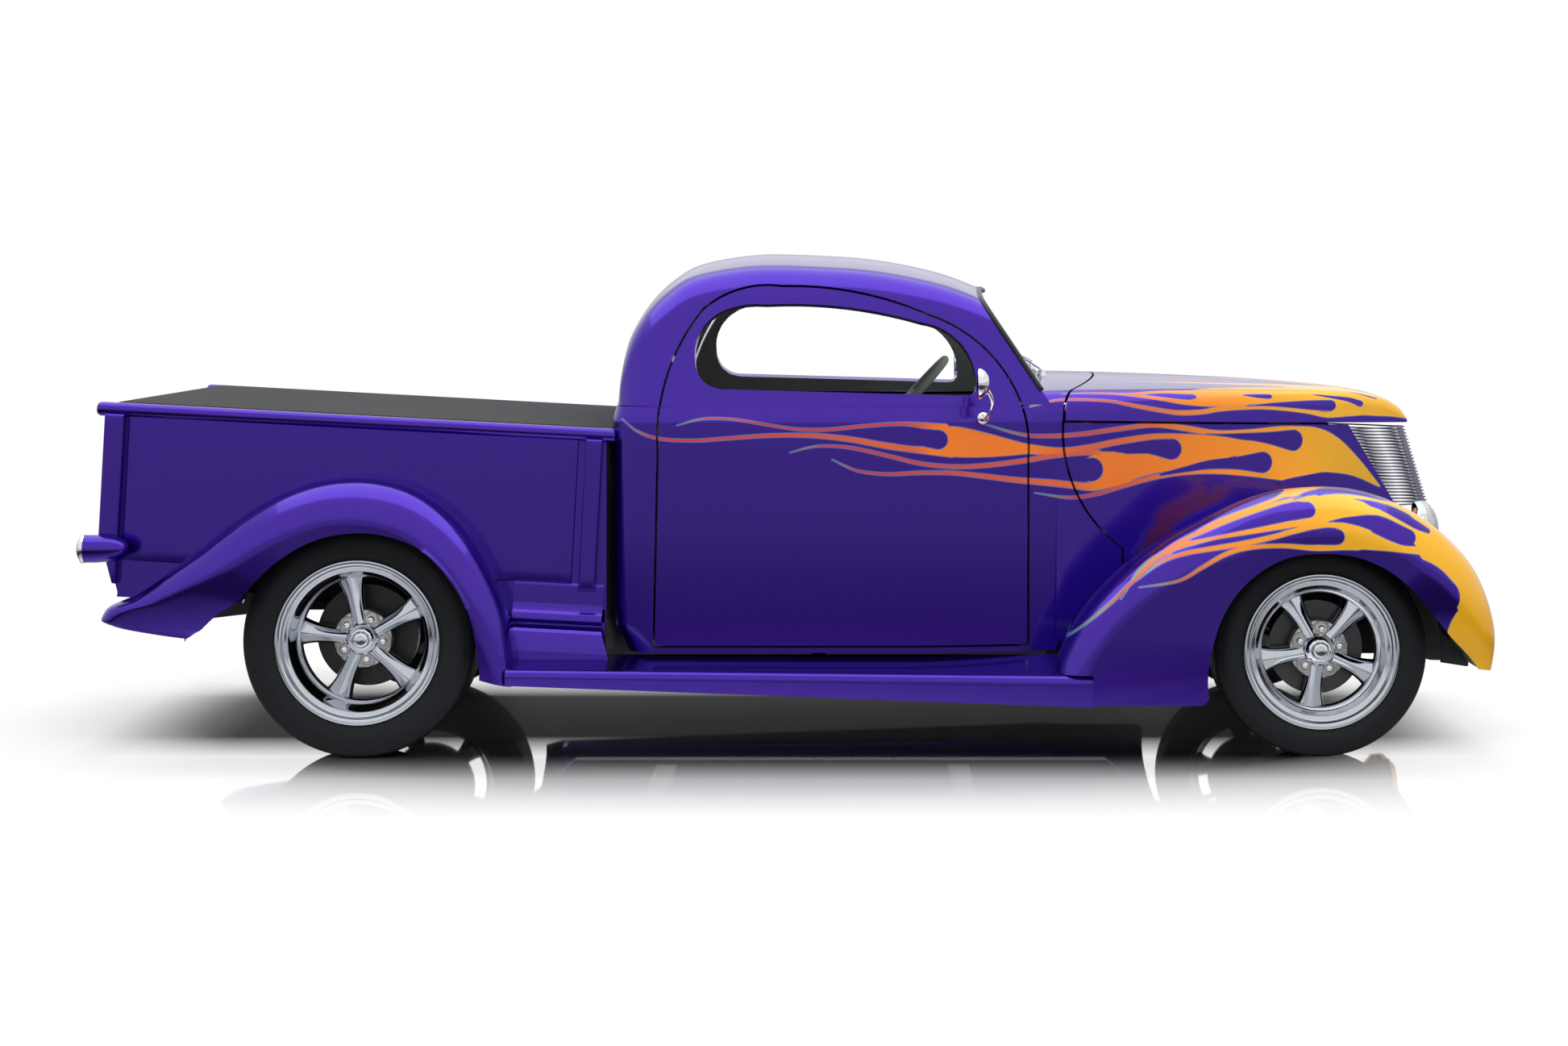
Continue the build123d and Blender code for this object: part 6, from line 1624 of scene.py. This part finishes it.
def build_stage():
    """Pale glossy floor that fades out into the white surroundings, with a dark shadow painted under the
    truck.
    """
    line = np.linspace(-FLOOR_SIZE, FLOOR_SIZE, FLOOR_CELLS)
    points, faces = grid_skin(lambda x, y: np.column_stack([x, y, np.full_like(x, FLOOR_Z)]), line, line)
    mesh = bpy.data.meshes.new("studio_floor")
    mesh.from_pydata((points * MM).tolist(), [], faces)
    floor = bpy.data.objects.new("studio_floor", mesh)
    bpy.context.scene.collection.objects.link(floor)
    material, tree = new_material("floor_paper")
    tree.set(roughness=0.6, specular=0.1)
    spot = tree.place()
    squeeze = tree.new("Mapping")
    squeeze.inputs["Scale"].default_value = (1 / FLOOR_OVAL[0], 1 / FLOOR_OVAL[1], 1.0)
    tree.links.new(spot, squeeze.inputs["Vector"])
    length = tree.new("VectorMath")
    length.operation = "LENGTH"
    tree.links.new(squeeze.outputs["Vector"], length.inputs[0])
    axes = tree.new("SeparateXYZ")
    tree.links.new(spot, axes.inputs["Vector"])

    def product(*ramps):
        """Product of ramps, each over the distance from the middle along one axis."""
        whole = None
        for axis, start, end, at_start, at_end in ramps:
            level = tree.ramp(tree.math("ABSOLUTE", axes.outputs[axis]), start, end, at_start, at_end)
            whole = tree.math("MULTIPLY", whole, level) if whole else level
        return whole

    # Painted shadow: the floor's colour turns dark in a soft-edged box under the truck
    painted_shadow = product(("X", 1.70, 2.15, 1, 0), ("Y", 0.72, 1.12, 1, 0))
    tree.feed("Base Color", tree.mix(painted_shadow, FLOOR_PALE, FLOOR_PAINTED_SHADOW))
    polish = tree.new("BsdfGlossy")
    polish.inputs["Color"].default_value = (*WHITE, 1.0)
    polish.inputs["Roughness"].default_value = 0.03
    gloss = product(("X", 1.95, 2.40, 0.8, 0), ("Y", 0.75, 1.85, 1, 0), ("Y", 0.40, 0.75, 0.02, 1))
    wet = tree.blend(gloss, tree.shader.outputs["BSDF"], polish.outputs["BSDF"])
    gone = tree.ramp(length.outputs["Value"], 0.55, 1.0, 0, 1)
    fade = tree.blend(gone, wet, tree.new("BsdfTransparent").outputs["BSDF"])
    tree.links.new(fade, tree.nodes["Material Output"].inputs["Surface"])
    mesh.materials.append(material)


def build_world():
    """White surroundings to the eye and through glass; a soft sky over darker ground as light."""
    world = bpy.data.worlds.new("studio")
    bpy.context.scene.world = world
    tree = Tree(world)
    axes = tree.new("SeparateXYZ")
    tree.links.new(tree.place("Generated"), axes.inputs["Vector"])
    up = axes.outputs["Z"]
    sky = tree.new("ValToRGB")
    stops = sky.color_ramp.elements
    stops[0].position, stops[0].color = 0.0, SKY_FOOT
    stops[1].position, stops[1].color = 1.0, SKY_TOP
    for place, level in SKY_LEVELS:
        stops.new(place).color = (level, level, level * 1.03, 1)
    tree.links.new(tree.ramp(up, -1, 1, 0, 1), sky.inputs["Fac"])
    path = tree.new("LightPath")
    seen = tree.math("MULTIPLY", path.outputs["Is Glossy Ray"], tree.ramp(up, *SKY_BAND, 0, 1))
    for ray in ("Is Camera Ray", "Is Transmission Ray"):
        seen = tree.math("MAXIMUM", path.outputs[ray], seen)
    colour = tree.mix(seen, sky.outputs["Color"], WHITE)
    tree.links.new(colour, tree.nodes["Background"].inputs["Color"])


def add_softbox(name, place, turn, size, power, mirrored_in_paint=True):
    light = bpy.data.lights.new(name, "AREA")
    light.shape = "RECTANGLE"
    light.size, light.size_y = size
    light.energy = power
    lamp = bpy.data.objects.new(name, light)
    lamp.location = place
    lamp.rotation_euler = [math.radians(a) for a in turn]
    lamp.visible_glossy = mirrored_in_paint
    bpy.context.scene.collection.objects.link(lamp)


def build_camera():
    """Long level lens on the truck's right side, where the photograph was taken."""
    data = bpy.data.cameras.new("photo_camera")
    data.sensor_width = CAMERA_SENSOR
    data.lens = CAMERA_LENS
    data.shift_x, data.shift_y = CAMERA_SHIFT
    camera = bpy.data.objects.new("photo_camera", data)
    camera.location = CAMERA_PLACE
    camera.rotation_euler = (math.radians(90), 0, 0)
    bpy.context.scene.collection.objects.link(camera)
    bpy.context.scene.camera = camera


build_stage()
build_world()
add_softbox("top_softbox", (0.0, 0.0, 4.6), (0, 0, 0), (9.0, 5.0), 170.0)
add_softbox("right_softbox", (0.5, -5.2, 4.4), (48, 0, 0), (7.0, 1.8), 200.0, False)
add_softbox("left_softbox", (0.5, 5.2, 4.4), (-48, 0, 0), (7.0, 1.8), 200.0, False)
build_camera()
bpy.context.scene.view_settings.view_transform = "Standard"
